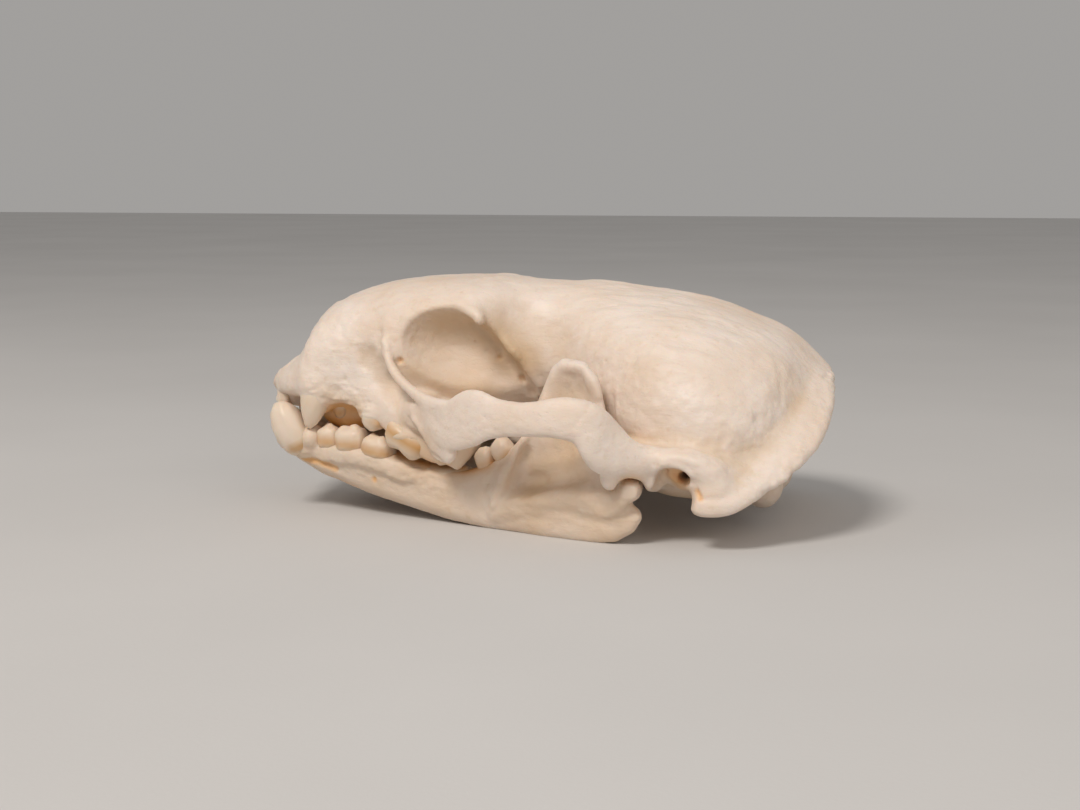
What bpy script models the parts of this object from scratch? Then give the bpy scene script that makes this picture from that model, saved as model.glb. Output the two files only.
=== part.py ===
"""Sea otter skull with its lower jaw, life size, resting on the lower edges of the jaw.

Metres, +Z up. The nose points along -X and the left side of the skull faces -Y. The origin is on the
floor under the middle of the skull. Places are written in millimetres and turned to metres by MM.
Paired features are given once, for the right side at +Y, and made on each side by a sign.
"""
import math

import bmesh
import bpy
import numpy as np
from mathutils import Matrix, Vector

MM = 0.001
SIDES = {"left": -1, "right": 1}

# The saw-thin gap between bones that meet, and half of it on each side of the joint.
GAP = 0.3
HALF_GAP = GAP / 2

# How finely the bone is worked before it is thinned, and the triangles that each node keeps.
VOXEL = 0.75
CRANIUM_SMOOTHING = 4
JAW_SMOOTHING = 6
CREASE_SMOOTHING = 30
CRANIUM_TRIANGLES = 7200
MANDIBLE_TRIANGLES = 1900
TOOTH_SIDES = 12
ROOT_DEPTH = 2.6
SOCKET_WALL = 0.5

BONE_COLOUR = (0.80, 0.69, 0.55)

# The jaw joint's axis, from the inner to the outer end of the jaw's condyle on the right side, and
# the radius of the socket that it turns in.
JOINT_INNER = (27.0, 27.0, 13.0)
JOINT_OUTER = (29.3, 43.2, 12.8)
CONDYLE_RADIUS = 2.6
SOCKET_RADIUS = 3.4

for old in list(bpy.data.objects):
    bpy.data.objects.remove(old)

skull = bpy.data.collections.new("otter_skull")
bpy.context.scene.collection.children.link(skull)


# Shapes: each function returns a closed mesh object.
def object_of(name, bm):
    mesh = bpy.data.meshes.new(name)
    bmesh.ops.recalc_face_normals(bm, faces=bm.faces)
    bm.to_mesh(mesh)
    bm.free()
    made = bpy.data.objects.new(name, mesh)
    skull.objects.link(made)
    return made


def ellipsoid(name, centre, radii, turn=(0, 0, 0), segments=28):
    """An ellipsoid with its radii along X, Y and Z, then turned by degrees about X, Y and Z."""
    bm = bmesh.new()
    bmesh.ops.create_uvsphere(bm, u_segments=segments, v_segments=segments // 2, radius=1)
    bmesh.ops.scale(bm, vec=Vector(radii) * MM, verts=bm.verts)
    for angle, axis in zip(turn, "XYZ"):
        spin = Matrix.Rotation(math.radians(angle), 3, axis)
        bmesh.ops.rotate(bm, matrix=spin, verts=bm.verts)
    bmesh.ops.translate(bm, vec=Vector(centre) * MM, verts=bm.verts)
    return object_of(name, bm)


def rod(name, start, end, radius, sides=20):
    """A round rod from start to end."""
    bm = bmesh.new()
    start, end = Vector(start), Vector(end)
    length = (end - start).length
    bmesh.ops.create_cone(bm, cap_ends=True, segments=sides, radius1=radius * MM,
                          radius2=radius * MM, depth=length * MM)
    turn = (end - start).to_track_quat("Z", "Y").to_matrix()
    bmesh.ops.rotate(bm, matrix=turn, verts=bm.verts)
    bmesh.ops.translate(bm, vec=(start + end) / 2 * MM, verts=bm.verts)
    return object_of(name, bm)


def prism(name, outline, near, far):
    """A block with the given outline in X and Z, from y = near to y = far."""
    bm = bmesh.new()
    face = bm.faces.new([bm.verts.new((x * MM, near * MM, z * MM)) for x, z in outline])
    grown = bmesh.ops.extrude_face_region(bm, geom=[face])
    moved = [v for v in grown["geom"] if isinstance(v, bmesh.types.BMVert)]
    bmesh.ops.translate(bm, vec=(0, (far - near) * MM, 0), verts=moved)
    return object_of(name, bm)


def eased(rows, count):
    """The rows of a table of stations, joined by a smooth curve and read at count places."""
    rows = np.array(rows, float)
    last = len(rows) - 1
    padded = np.vstack([2 * rows[0] - rows[1], rows, 2 * rows[-1] - rows[-2]])
    out = []
    for at in np.linspace(0, last, count):
        i = min(int(at), last - 1)
        t = at - i
        a, b, c, d = padded[i:i + 4]
        out.append(0.5 * (2 * b + (c - a) * t + (2 * a - 5 * b + 4 * c - d) * t ** 2
                          + (3 * b - a - 3 * c + d) * t ** 3))
    return np.array(out)


def loft(name, rings):
    """A closed solid through rings of points, each ring with as many points as the next."""
    bm = bmesh.new()
    made = [[bm.verts.new(Vector(p) * MM) for p in ring] for ring in rings]
    for near, far in zip(made, made[1:]):
        for i in range(len(near)):
            j = (i + 1) % len(near)
            bm.faces.new((near[i], near[j], far[j], far[i]))
    bm.faces.new(made[0])
    bm.faces.new(made[-1])
    bmesh.ops.triangulate(bm, faces=bm.faces)
    return object_of(name, bm)


def power(value, exponent):
    return math.copysign(abs(value) ** exponent, value)


def section(x, top, bottom, half, widest, squareness, base_squareness, points=36):
    """A ring across the skull at x: half breadth half at height widest, squarer as squareness grows."""
    ring = []
    for k in range(points):
        angle = 2 * math.pi * k / points
        c, s = math.cos(angle), math.sin(angle)
        n = squareness if s > 0 else base_squareness
        reach = top - widest if s > 0 else widest - bottom
        ring.append((x, half * power(c, 2 / n), widest + reach * power(s, 2 / n)))
    return ring


def bar(name, rows, side=1, points=16, count=40):
    """A bar along a path. Each row: x, y, z of its middle, its height, its thickness and its lean.

    Lean turns the section about the path, in degrees: positive tips the top of the bar inwards.
    """
    rows = eased(rows, count)
    rows[:, 1] *= side
    rings = []
    for i, row in enumerate(rows):
        middle = Vector(row[:3])
        along = Vector(rows[min(i + 1, count - 1)][:3]) - Vector(rows[max(i - 1, 0)][:3])
        along.normalize()
        across = along.cross(Vector((0, 0, 1))).normalized()
        up = across.cross(along)
        turn = Matrix.Rotation(math.radians(side * row[5]), 3, along)
        across, up = turn @ across, turn @ up
        ring = []
        for k in range(points):
            angle = 2 * math.pi * k / points
            ring.append(middle + up * (row[3] / 2 * power(math.sin(angle), 0.8))
                        + across * (row[4] / 2 * power(math.cos(angle), 0.8)))
        rings.append(ring)
    return loft(name, rings)


def fin(name, rows, side=1, count=40):
    """A thin blade of bone. Each row: x, y, z of its buried root, x, y, z of its edge, and how
    thick it is at the root and at the edge."""
    rows = eased(rows, count)
    rows[:, [1, 4]] *= side
    rings = []
    for i, row in enumerate(rows):
        root, edge = Vector(row[:3]), Vector(row[3:6])
        along = Vector(rows[min(i + 1, count - 1)][3:6]) - Vector(rows[max(i - 1, 0)][3:6])
        flat = along.cross(edge - root).normalized()
        rings.append([root + flat * row[6] / 2, edge + flat * row[7] / 2,
                      edge + (edge - root).normalized() * row[7] / 3,
                      edge - flat * row[7] / 2, root - flat * row[6] / 2])
    return loft(name, rings)


# Working the bone: fuse, cut, smooth, sculpt and thin.
def bake(obj):
    """Gives the object the mesh that its modifiers make, and takes the modifiers away."""
    graph = bpy.context.evaluated_depsgraph_get()
    mesh = bpy.data.meshes.new_from_object(obj.evaluated_get(graph))
    obj.modifiers.clear()
    obj.data = mesh
    return obj


def melted(obj):
    """Remeshed with small even cells, which melts pieces that overlap into one skin."""
    melt = obj.modifiers.new("melt", "REMESH")
    melt.mode = "VOXEL"
    melt.voxel_size = VOXEL * MM
    return bake(obj)


def fused(name, pieces):
    bm = bmesh.new()
    for piece in pieces:
        bm.from_mesh(piece.data)
        bpy.data.objects.remove(piece)
    return melted(object_of(name, bm))


def combine(obj, others, operation, solver="EXACT"):
    """Cuts the others from the object or joins them to it, as one Boolean for the whole set."""
    together = bpy.data.collections.new("set")
    bpy.context.scene.collection.children.link(together)
    for other in others:
        skull.objects.unlink(other)
        together.objects.link(other)
    boolean = obj.modifiers.new(operation, "BOOLEAN")
    boolean.operation = operation
    boolean.solver = solver
    boolean.operand_type = "COLLECTION"
    boolean.collection = together
    bpy.context.view_layer.update()
    bake(obj)
    for other in others:
        bpy.data.objects.remove(other)
    bpy.data.collections.remove(together)
    return obj


def smoothed(obj, rounds):
    smooth = obj.modifiers.new("smooth", "SMOOTH")
    smooth.factor = 0.5
    smooth.iterations = rounds
    return bake(obj)


def thinned(obj, triangles):
    count = sum(len(p.vertices) - 2 for p in obj.data.polygons)
    thin = obj.modifiers.new("thin", "DECIMATE")
    thin.ratio = min(1.0, triangles / count)
    thin.use_collapse_triangulate = True
    return bake(obj)


def points_of(obj, what="co"):
    values = np.empty(len(obj.data.vertices) * 3)
    if what == "co":
        obj.data.vertices.foreach_get("co", values)
        return values.reshape(-1, 3) / MM
    obj.data.vertex_normals.foreach_get("vector", values)
    return values.reshape(-1, 3)


def move_points(obj, points):
    obj.data.vertices.foreach_set("co", (points * MM).ravel())
    obj.data.update()


def nearness(points, path, radius):
    """1 on the path and 0 beyond radius from it, easing between."""
    path = np.array(path, float)
    if len(path) == 1:
        path = np.vstack([path, path])
    best = np.full(len(points), 1e9)
    for start, end in zip(path, path[1:]):
        along = end - start
        at = np.clip(((points - start) @ along) / max(along @ along, 1e-9), 0, 1)
        gap = points - start - at[:, None] * along
        best = np.minimum(best, (gap ** 2).sum(axis=1))
    return np.clip(1 - best / radius ** 2, 0, 1) ** 2


def sculpted(obj, strokes, sides=(1,)):
    """Raises or presses the surface along soft strokes.

    Each stroke: its path, its radius, its height (below 0 presses in) and the way that the worked
    surface faces, or None for all of it.
    """
    points = points_of(obj)
    normals = points_of(obj, "normal")
    for path, radius, height, facing in strokes:
        for side in sides:
            mirrored = [(x, side * y, z) for x, y, z in path]
            amount = nearness(points, mirrored, radius) * height
            if facing is not None:
                turned = np.array((facing[0], side * facing[1], facing[2]))
                amount = amount * np.clip(normals @ turned, 0, 1)
            points = points + normals * amount[:, None]
    move_points(obj, points)
    return obj


def softened(obj, places, rounds):
    """Melts the creases in some places. Each place: its path, for both sides, and its radius."""
    points = points_of(obj)
    weight = np.zeros(len(points))
    for path, radius in places:
        for side in SIDES.values():
            mirrored = [(x, side * y, z) for x, y, z in path]
            weight = np.maximum(weight, nearness(points, mirrored, radius))
    group = obj.vertex_groups.new(name="soft")
    for i in np.flatnonzero(weight > 0.01):
        group.add([int(i)], float(min(1.0, 1.5 * weight[i])), "REPLACE")
    smooth = obj.modifiers.new("smooth", "SMOOTH")
    smooth.factor = 0.5
    smooth.iterations = rounds
    smooth.vertex_group = group.name
    bake(obj)
    obj.vertex_groups.clear()
    return obj


def largest_only(obj):
    """Keeps the largest closed surface of a mesh and drops the rest."""
    bm = bmesh.new()
    bm.from_mesh(obj.data)
    left = set(bm.verts)
    parts = []
    while left:
        stack = [left.pop()]
        found = set(stack)
        while stack:
            for edge in stack.pop().link_edges:
                for v in edge.verts:
                    if v in left:
                        left.remove(v)
                        found.add(v)
                        stack.append(v)
        parts.append(found)
    parts.sort(key=len)
    for scrap in parts[:-1]:
        bmesh.ops.delete(bm, geom=list(scrap), context="VERTS")
    bm.to_mesh(obj.data)
    bm.free()
    return obj


# The cranium's core, from the front teeth to the crest. Each station, from front to back:
# x, top, bottom, half breadth, height of the widest place, squareness above and below.
CORE = [
    (-71.0, 32.2, 29.6, 4.0, 31.0, 2.2, 2.2),
    (-69.3, 33.3, 28.6, 9.0, 31.0, 2.3, 2.4),
    (-66.0, 35.8, 27.8, 13.6, 31.0, 2.4, 2.8),
    (-62.5, 38.2, 27.2, 17.0, 31.6, 2.4, 3.0),
    (-60.2, 40.3, 27.0, 18.6, 32.2, 2.4, 3.0),
    (-58.5, 42.8, 26.9, 19.8, 33.0, 2.4, 3.0),
    (-57.0, 46.6, 26.8, 20.4, 33.6, 2.4, 3.0),
    (-55.0, 49.8, 26.6, 20.9, 34.2, 2.5, 3.0),
    (-52.0, 51.9, 26.2, 21.0, 35.0, 2.6, 3.0),
    (-48.0, 53.9, 25.8, 20.8, 36.0, 2.6, 3.0),
    (-41.0, 56.2, 24.8, 21.4, 37.0, 2.6, 2.8),
    (-33.0, 57.6, 24.0, 23.2, 40.0, 2.6, 2.6),
    (-24.0, 58.2, 23.5, 22.8, 45.0, 2.7, 2.4),
    (-14.0, 58.4, 22.5, 22.3, 47.5, 2.6, 2.2),
    (-8.0, 58.2, 22.0, 19.5, 47.5, 2.4, 2.0),
    (-1.0, 57.6, 22.5, 16.5, 44.0, 2.1, 1.9),
    (7.0, 57.2, 22.0, 18.5, 39.5, 2.0, 2.0),
    (15.0, 57.0, 20.5, 24.5, 34.5, 2.0, 2.2),
    (24.0, 55.9, 18.5, 32.0, 29.5, 2.0, 2.3),
    (34.0, 54.6, 15.5, 37.5, 26.0, 2.05, 2.4),
    (44.0, 52.4, 12.5, 39.0, 23.0, 2.05, 2.4),
    (52.0, 49.4, 10.2, 37.0, 21.0, 2.05, 2.2),
    (57.0, 47.4, 11.0, 33.5, 22.0, 2.05, 2.0),
    (61.0, 45.0, 16.5, 28.5, 25.0, 2.0, 2.0),
    (64.5, 42.0, 23.0, 21.5, 28.5, 2.0, 2.0),
    (67.2, 39.0, 28.0, 12.0, 32.0, 2.0, 2.0),
    (68.4, 37.0, 31.0, 5.0, 33.5, 2.0, 2.0),
]

# The part of the face that carries the cheek teeth, and the palate's rear. Same columns.
MAXILLA = [
    (-56.0, 42.0, 27.4, 18.5, 30.0, 2.2, 3.2),
    (-46.0, 43.0, 25.2, 20.8, 29.0, 2.2, 3.4),
    (-38.0, 42.0, 22.9, 23.4, 27.5, 2.1, 3.6),
    (-30.0, 37.0, 20.6, 26.0, 24.6, 2.1, 3.6),
    (-22.0, 30.0, 19.0, 27.6, 22.2, 2.6, 3.6),
    (-14.5, 27.5, 18.6, 26.8, 21.8, 2.6, 3.4),
    (-10.5, 26.5, 19.4, 20.5, 22.5, 2.4, 3.0),
    (-6.0, 26.5, 19.6, 13.0, 22.5, 2.2, 2.6),
    (2.0, 26.0, 18.6, 10.5, 22.0, 2.2, 2.4),
    (14.0, 25.0, 17.0, 10.0, 21.0, 2.2, 2.4),
]


def core():
    return loft("core", [section(*row) for row in eased(CORE, 90)])


def maxilla():
    return loft("maxilla", [section(*row) for row in eased(MAXILLA, 40)])


def zygomatic_root(side):
    """The cheek arch's root on the maxilla, a plate that spreads out above the hindmost teeth."""
    rows = [
        (-28.0, 19.0, 27.6, 7.6, 12.0, 0),
        (-25.0, 26.0, 26.4, 7.6, 9.0, 0),
        (-22.0, 31.0, 26.2, 8.4, 5.0, 0),
        (-18.0, 34.6, 23.8, 11.6, 3.6, 0),
        (-15.6, 36.0, 22.0, 12.0, 3.2, 0),
        (-13.6, 37.6, 22.6, 9.0, 3.0, 0),
    ]
    return bar("zygomatic_root", rows, side)


def tooth_margin(side):
    """The outer edge of the upper jaw, which drops towards the rear over the roots of the cheek teeth."""
    rows = [
        (-50.0, 17.4, 29.2, 6.0, 5.0, 0),
        (-45.0, 18.0, 29.2, 6.0, 5.0, 0),
        (-40.0, 20.0, 26.8, 6.6, 5.0, 0),
        (-35.8, 21.4, 25.8, 6.4, 5.0, 0),
        (-30.1, 23.4, 22.6, 6.6, 5.0, 0),
        (-24.7, 25.2, 19.6, 7.0, 5.2, 0),
        (-20.0, 26.2, 18.0, 7.0, 5.2, 0),
        (-14.5, 26.8, 18.2, 6.0, 5.2, 0),
    ]
    return bar("tooth_margin", rows, side)


def ear_roof(side):
    """The ridge that runs from the arch's rear end over the ear opening to the mastoid."""
    rows = [
        (26.0, 41.0, 20.2, 6.0, 6.0, 0),
        (31.0, 41.2, 20.0, 5.6, 6.0, 0),
        (36.0, 40.8, 20.4, 5.0, 6.0, 0),
        (41.0, 41.0, 20.6, 4.8, 6.0, 0),
        (45.5, 41.2, 18.8, 6.4, 6.0, 0),
        (48.5, 40.0, 15.4, 8.0, 6.0, 0),
    ]
    return bar("ear_roof", rows, side)


def pterygoid(side):
    """The thin plate beside the inner opening of the nose, down to its hooked tip."""
    rows = [
        (-9.0, 10.5, 25.0, -9.0, 11.0, 19.0, 3.0, 2.4),
        (0.0, 9.0, 24.0, 0.0, 9.5, 16.5, 3.0, 1.8),
        (8.0, 8.5, 22.0, 8.5, 9.0, 13.2, 3.0, 1.8),
        (13.0, 9.0, 20.0, 14.0, 9.5, 13.0, 3.0, 1.8),
        (18.0, 10.0, 19.0, 18.0, 10.5, 16.5, 3.0, 2.0),
    ]
    return fin("pterygoid", rows, side)


def face_and_base(side):
    """What grows from the core on one side, apart from the thin blades and the arch."""
    return [
        zygomatic_root(side),
        tooth_margin(side),
        ear_roof(side),
        pterygoid(side),
        ellipsoid("glenoid_shelf", (28.6, side * 34.5, 18.2), (7.6, 11.0, 5.0)),
        ellipsoid("postglenoid_lip", (33.4, side * 34.0, 14.6), (2.4, 8.0, 3.2)),
        ellipsoid("preglenoid_lobe", (25.0, side * 43.8, 16.6), (2.5, 2.7, 3.6)),
        ellipsoid("bulla", (36.5, side * 22.5, 14.2), (13.0, 9.5, 5.6), (0, 12, side * -18)),
        ellipsoid("ear_tube", (40.4, side * 33.0, 16.0), (4.4, 9.2, 3.6)),
        ellipsoid("mastoid", (47.6, side * 39.0, 13.6), (5.4, 5.0, 5.4)),
        ellipsoid("mastoid_base", (48.0, side * 33.0, 16.0), (8.0, 8.0, 7.0)),
        ellipsoid("paroccipital", (51.5, side * 27.0, 11.6), (4.0, 5.5, 4.6)),
        ellipsoid("occipital_condyle", (55.2, side * 11.5, 10.6), (5.0, 6.6, 6.0), (side * 24, 0, 0)),
        ellipsoid("canine_root", (-54.0, side * 17.2, 32.0), (5.6, 4.6, 8.0), (0, -14, 0)),
        ellipsoid("incisor_base", (-62.6, side * 6.6, 27.4), (4.8, 5.0, 2.8)),
        ellipsoid("palate_edge", (-47.5, side * 12.0, 24.6), (8.0, 2.6, 4.6)),
    ]


def openings(side):
    """The hollows on one side of the cranium that are cut before the thin blades go on."""
    canal = [
        (-16.0, 24.0, 33.4, 5.6, 5.0, 0),
        (-24.0, 25.4, 32.8, 6.4, 6.0, 0),
        (-30.0, 26.2, 33.4, 7.6, 7.0, 0),
        (-35.0, 25.8, 35.8, 7.4, 5.8, 0),
        (-41.0, 26.6, 38.0, 5.0, 4.0, 0),
    ]
    return [
        ellipsoid("orbit", (-14.2, side * 34.5, 40.4), (20.6, 20.8, 13.0), (0, 22, 0), 40),
        ellipsoid("orbit_floor", (-6.4, side * 31.5, 35.4), (14.0, 18.0, 9.6), (0, 22, 0), 40),
        ellipsoid("tooth_gap", (-47.6, side * 20.5, 24.4), (5.4, 6.0, 3.4)),
        bar("infraorbital_canal", canal, side),
    ]


# The room that the jaw's blade takes up beside the braincase, in x and z, and across.
RAMUS_ROOM = [(-6.0, 8.0), (0.0, 24.0), (6.0, 40.0), (10.0, 44.0), (18.0, 44.0), (23.0, 38.0), (24.0, 24.0),
              (25.0, 19.4), (27.4, 16.2), (28.0, 11.0)]
RAMUS_INNER = 30.2
RAMUS_OUTER = 40.4


def along_joint(side, y):
    """The point of the jaw joint's axis at a distance y from the middle of the skull."""
    inner, outer = np.array(JOINT_INNER), np.array(JOINT_OUTER)
    point = inner + (outer - inner) * (y - inner[1]) / (outer[1] - inner[1])
    return point * (1, side, 1)


def joint_room(side):
    """The socket of the jaw joint, and the room that the jaw's blade needs in front of it."""
    low, high = JOINT_INNER[1] - 2, JOINT_OUTER[1] + 8
    return [
        rod("joint_socket", along_joint(side, low), along_joint(side, high), SOCKET_RADIUS),
        prism("ramus_room", RAMUS_ROOM, side * RAMUS_INNER, side * RAMUS_OUTER),
    ]


def midline_openings():
    return [
        ellipsoid("nasal_aperture", (-62.6, 0, 44.6), (14.5, 10.6, 11.2), (0, 39, 0), 40),
        ellipsoid("foramen_magnum", (62.0, 0, 18.2), (13.0, 8.4, 5.8), (0, -10, 0), 32),
        ellipsoid("choana", (7.0, 0, 17.0), (16.0, 6.4, 5.6), (0, -4, 0), 32),
        ellipsoid("palate", (-34.0, 0, 18.6), (28.0, 12.5, 5.2), (0, 8, 0), 32),
    ]


def cheek_arch(side):
    """The cheek arch, a strap that bows out from the cheekbone to the jaw joint."""
    rows = [
        (-21.5, 32.0, 27.2, 8.0, 4.0, 0),
        (-18.0, 35.0, 26.0, 10.0, 3.6, 0),
        (-13.5, 38.5, 25.6, 12.0, 3.4, 2),
        (-7.0, 42.3, 28.4, 13.6, 3.4, 4),
        (-0.5, 45.4, 28.8, 9.2, 3.6, 8),
        (7.5, 48.2, 29.2, 8.0, 4.0, 10),
        (15.0, 49.3, 29.9, 9.6, 4.4, 10),
        (21.0, 48.4, 28.4, 10.4, 4.8, 8),
        (25.0, 45.8, 22.6, 12.0, 5.4, 4),
        (30.0, 42.2, 20.4, 8.0, 6.2, 0),
        (36.0, 39.0, 20.0, 6.0, 6.4, 0),
    ]
    return bar("cheek_arch", rows, side)


def orbit_strut(side):
    """The thin bridge over the infraorbital canal: the front lower rim of the eye socket."""
    rows = [
        (-34.8, 19.6, 47.0, 3.0, 3.0, 0),
        (-34.6, 22.2, 43.2, 2.8, 2.8, 0),
        (-33.4, 24.6, 39.2, 2.6, 2.6, 0),
        (-30.6, 27.2, 36.0, 2.5, 2.6, 0),
        (-27.0, 29.8, 33.4, 2.6, 2.6, 0),
        (-22.6, 32.6, 31.2, 3.2, 2.8, 0),
        (-18.4, 35.2, 29.6, 4.6, 3.2, 0),
        (-14.5, 37.8, 29.0, 5.6, 3.2, 0),
    ]
    return bar("orbit_strut", rows, side)


# How much further back the crest stands on the left than the mean of both sides, row by row.
CREST_SKEW = (0, 1.2, 1.8, 1.8, 0.6, 0, 0, 0, 0)


def nuchal_crest(side):
    """The blade round the back of the skull, from the middle of the crown to the mastoid."""
    rows = [
        (57.0, 0.0, 40.0, 69.2, 0.0, 36.6, 13.0, 3.2),
        (56.0, 8.0, 37.5, 69.6, 9.0, 33.8, 13.0, 3.0),
        (55.0, 15.0, 33.0, 69.3, 18.5, 28.6, 13.0, 3.0),
        (53.0, 21.0, 28.0, 67.0, 27.5, 22.4, 13.0, 3.0),
        (50.0, 26.0, 23.0, 63.0, 34.0, 17.2, 13.0, 3.0),
        (47.0, 30.0, 19.0, 57.4, 39.2, 12.8, 13.0, 3.2),
        (45.0, 32.0, 18.0, 51.6, 42.8, 9.8, 12.0, 3.8),
        (44.0, 33.5, 17.5, 45.6, 43.6, 9.4, 10.0, 4.2),
        (43.5, 34.0, 17.0, 43.6, 43.2, 10.6, 10.0, 4.2),
    ]
    rows = [(*row[:3], row[3] - side * skew, *row[4:]) for row, skew in zip(rows, CREST_SKEW)]
    return fin("nuchal_crest", rows, side)


def brow(side):
    """The brow's point over the eye socket."""
    rows = [
        (-22.0, 15.0, 52.6, 3.0, 4.0, 0),
        (-16.5, 19.4, 51.8, 3.0, 3.6, 0),
        (-12.6, 22.0, 50.2, 2.6, 2.8, 0),
        (-10.4, 22.8, 49.0, 1.4, 1.6, 0),
    ]
    return bar("brow", rows, side)


# Strokes that finish the cranium's surface, for the right side: path, radius, height, facing.
TEMPORAL_LINE = [(-11.0, 22.0, 50.2), (-14.5, 18.5, 54.2), (-16.5, 12.0, 57.0), (-10.0, 6.0, 58.2)]
MIDLINE_RIDGE = [(12.0, 2.0, 57.0), (28.0, 1.5, 55.6), (46.0, 1.0, 51.6),
                 (58.0, 0.5, 46.8), (66.0, 0.0, 41.0)]
VALLEY = [(-40.0, 22.5, 39.5), (-36.0, 23.5, 35.6), (-32.0, 24.0, 31.5), (-28.0, 26.0, 27.6),
          (-24.5, 27.5, 24.6)]
ORBIT_REAR = [(-11.5, 20.8, 48.6), (-8.0, 19.0, 45.2), (-4.4, 17.4, 41.4), (-1.6, 16.8, 37.4),
              (1.2, 16.2, 32.4), (1.8, 16.0, 27.0)]
CRANIUM_STROKES = [
    (TEMPORAL_LINE, 2.2, 0.3, None),
    (MIDLINE_RIDGE, 5.0, 0.25, None),
    (VALLEY, 4.6, -1.5, (0, 1, 0)),
    (ORBIT_REAR, 2.6, 1.5, None),
    ([(-3.0, 18.0, 49.0), (5.0, 18.0, 45.0)], 9.0, -1.4, None),
    ([(62.0, 12.0, 38.0), (60.0, 22.0, 31.0), (55.0, 32.0, 23.0), (51.0, 36.0, 19.0)],
     6.5, -0.9, (0.4, 0.7, 0.6)),
    ([(46.0, 39.0, 24.0), (37.0, 38.0, 26.0)], 7.0, -0.8, (0, 1, 0.3)),
    ([(39.0, 40.0, 11.6), (36.0, 38.0, 13.0)], 4.5, -1.6, None),
]

# Where one part of the cranium runs into the next with no crease: path and radius.
SOFT_PLACES = [
    ([(30.0, 24.0, 13.0), (46.0, 26.0, 11.0), (54.0, 18.0, 12.0)], 13.0),
    ([(46.0, 35.0, 20.0), (54.0, 32.0, 16.0)], 11.0),
    ([(20.0, 0.0, 16.0), (46.0, 0.0, 12.0)], 16.0),
    ([(34.0, 38.0, 23.0), (42.0, 39.0, 24.0), (50.0, 38.0, 22.0)], 9.0),
    ([(-50.0, 20.0, 34.0), (-40.0, 22.0, 37.0)], 11.0),
    ([(60.0, 10.0, 42.0), (57.0, 24.0, 34.0), (50.0, 34.0, 26.0)], 11.0),
    ([(66.0, 3.0, 39.0), (64.0, 16.0, 34.0), (60.0, 26.0, 27.0), (54.0, 35.0, 20.0)], 6.0),
    ([(0.0, 10.0, 20.0), (12.0, 10.0, 19.0)], 6.0),
    ([(-26.0, 12.0, 57.0), (-14.0, 19.0, 54.0)], 7.0),
    ([(-16.0, 15.5, 35.0), (-3.0, 15.5, 33.0)], 10.0),
]


def tooth(name, side, centre, size, squareness=2.6, cusps=(), turn=(0, 0, 0), taper=0.0):
    """One tooth with its root: a rounded block of the given length, breadth and height.

    Taper is how much narrower the crown grows towards its tip.

    Each cusp: where it stands on the crown, from -1 to 1 along and across, and how far it rises.
    A crown that faces down has a height below 0.
    """
    bm = bmesh.new()
    bmesh.ops.create_uvsphere(bm, u_segments=TOOTH_SIDES, v_segments=TOOTH_SIDES // 2 + 1, radius=1)
    for v in bm.verts:
        x, y, z = [power(c, 2 / squareness) for c in v.co]
        rise = sum(h * math.exp(-((x - u) ** 2 + (y - w) ** 2) / 0.12) for u, w, h in cusps)
        lift = rise * max(z, 0)
        slim = 1 - taper * max(z + 0.3, 0) / 1.3
        v.co = (x * slim * size[0] / 2, side * y * slim * size[1] / 2,
                z * size[2] / 2 + math.copysign(lift, size[2]))
    for angle, axis in zip(turn, "XYZ"):
        sign = 1 if axis == "Y" else side
        bmesh.ops.rotate(bm, matrix=Matrix.Rotation(math.radians(sign * angle), 3, axis), verts=bm.verts)
    bmesh.ops.scale(bm, vec=(MM, MM, MM), verts=bm.verts)
    bmesh.ops.translate(bm, vec=Vector((centre[0], side * centre[1], centre[2])) * MM, verts=bm.verts)
    return object_of(name, bm)


# Each tooth: name, middle, (length, breadth, height with its root), squareness, cusps, turn, taper.
# Height is below 0 for an upper tooth, whose crown faces down.
UPPER_GRINDER = ((-0.5, 0.75, 1.7), (0.5, 0.75, 1.7), (-0.4, -0.5, 0.3), (0.5, -0.5, 0.3))
LOWER_GRINDER = ((-0.6, -0.4, 0.3), (0.1, -0.5, 0.3), (0.9, 0.1, 1.2), (-0.2, 0.4, 0.2))
UPPER_TEETH = [
    ("I1", (-68.4, 1.9, 28.2), (3.2, 3.4, -8.8), 3.4, (), (0, 8, 0)),
    ("I2", (-67.8, 5.6, 28.2), (3.2, 3.6, -8.8), 3.2, (), (0, 10, 0)),
    ("I3", (-65.6, 10.2, 28.2), (3.6, 4.2, -8.6), 3.0, (), (0, 4, 0)),
    ("C", (-54.8, 18.2, 27.4), (8.0, 7.0, -13.8), 2.1, (), (4, 12, 0), 0.45),
    ("P2", (-49.6, 13.6, 26.6), (4.0, 3.8, -7.6), 2.4, (), (0, 0, 0)),
    ("P3", (-38.0, 21.2, 24.8), (6.4, 5.6, -6.6), 2.6, ((0, 0.3, 0.4),), (0, 8, 0)),
    ("P4", (-27.8, 22.2, 20.6), (12.8, 11.6, -6.0), 3.2, UPPER_GRINDER, (-9, 28, 14)),
    ("M1", (-16.8, 22.6, 19.4), (9.8, 14.6, -6.4), 3.2, UPPER_GRINDER, (-21, 8, 8)),
]
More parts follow.
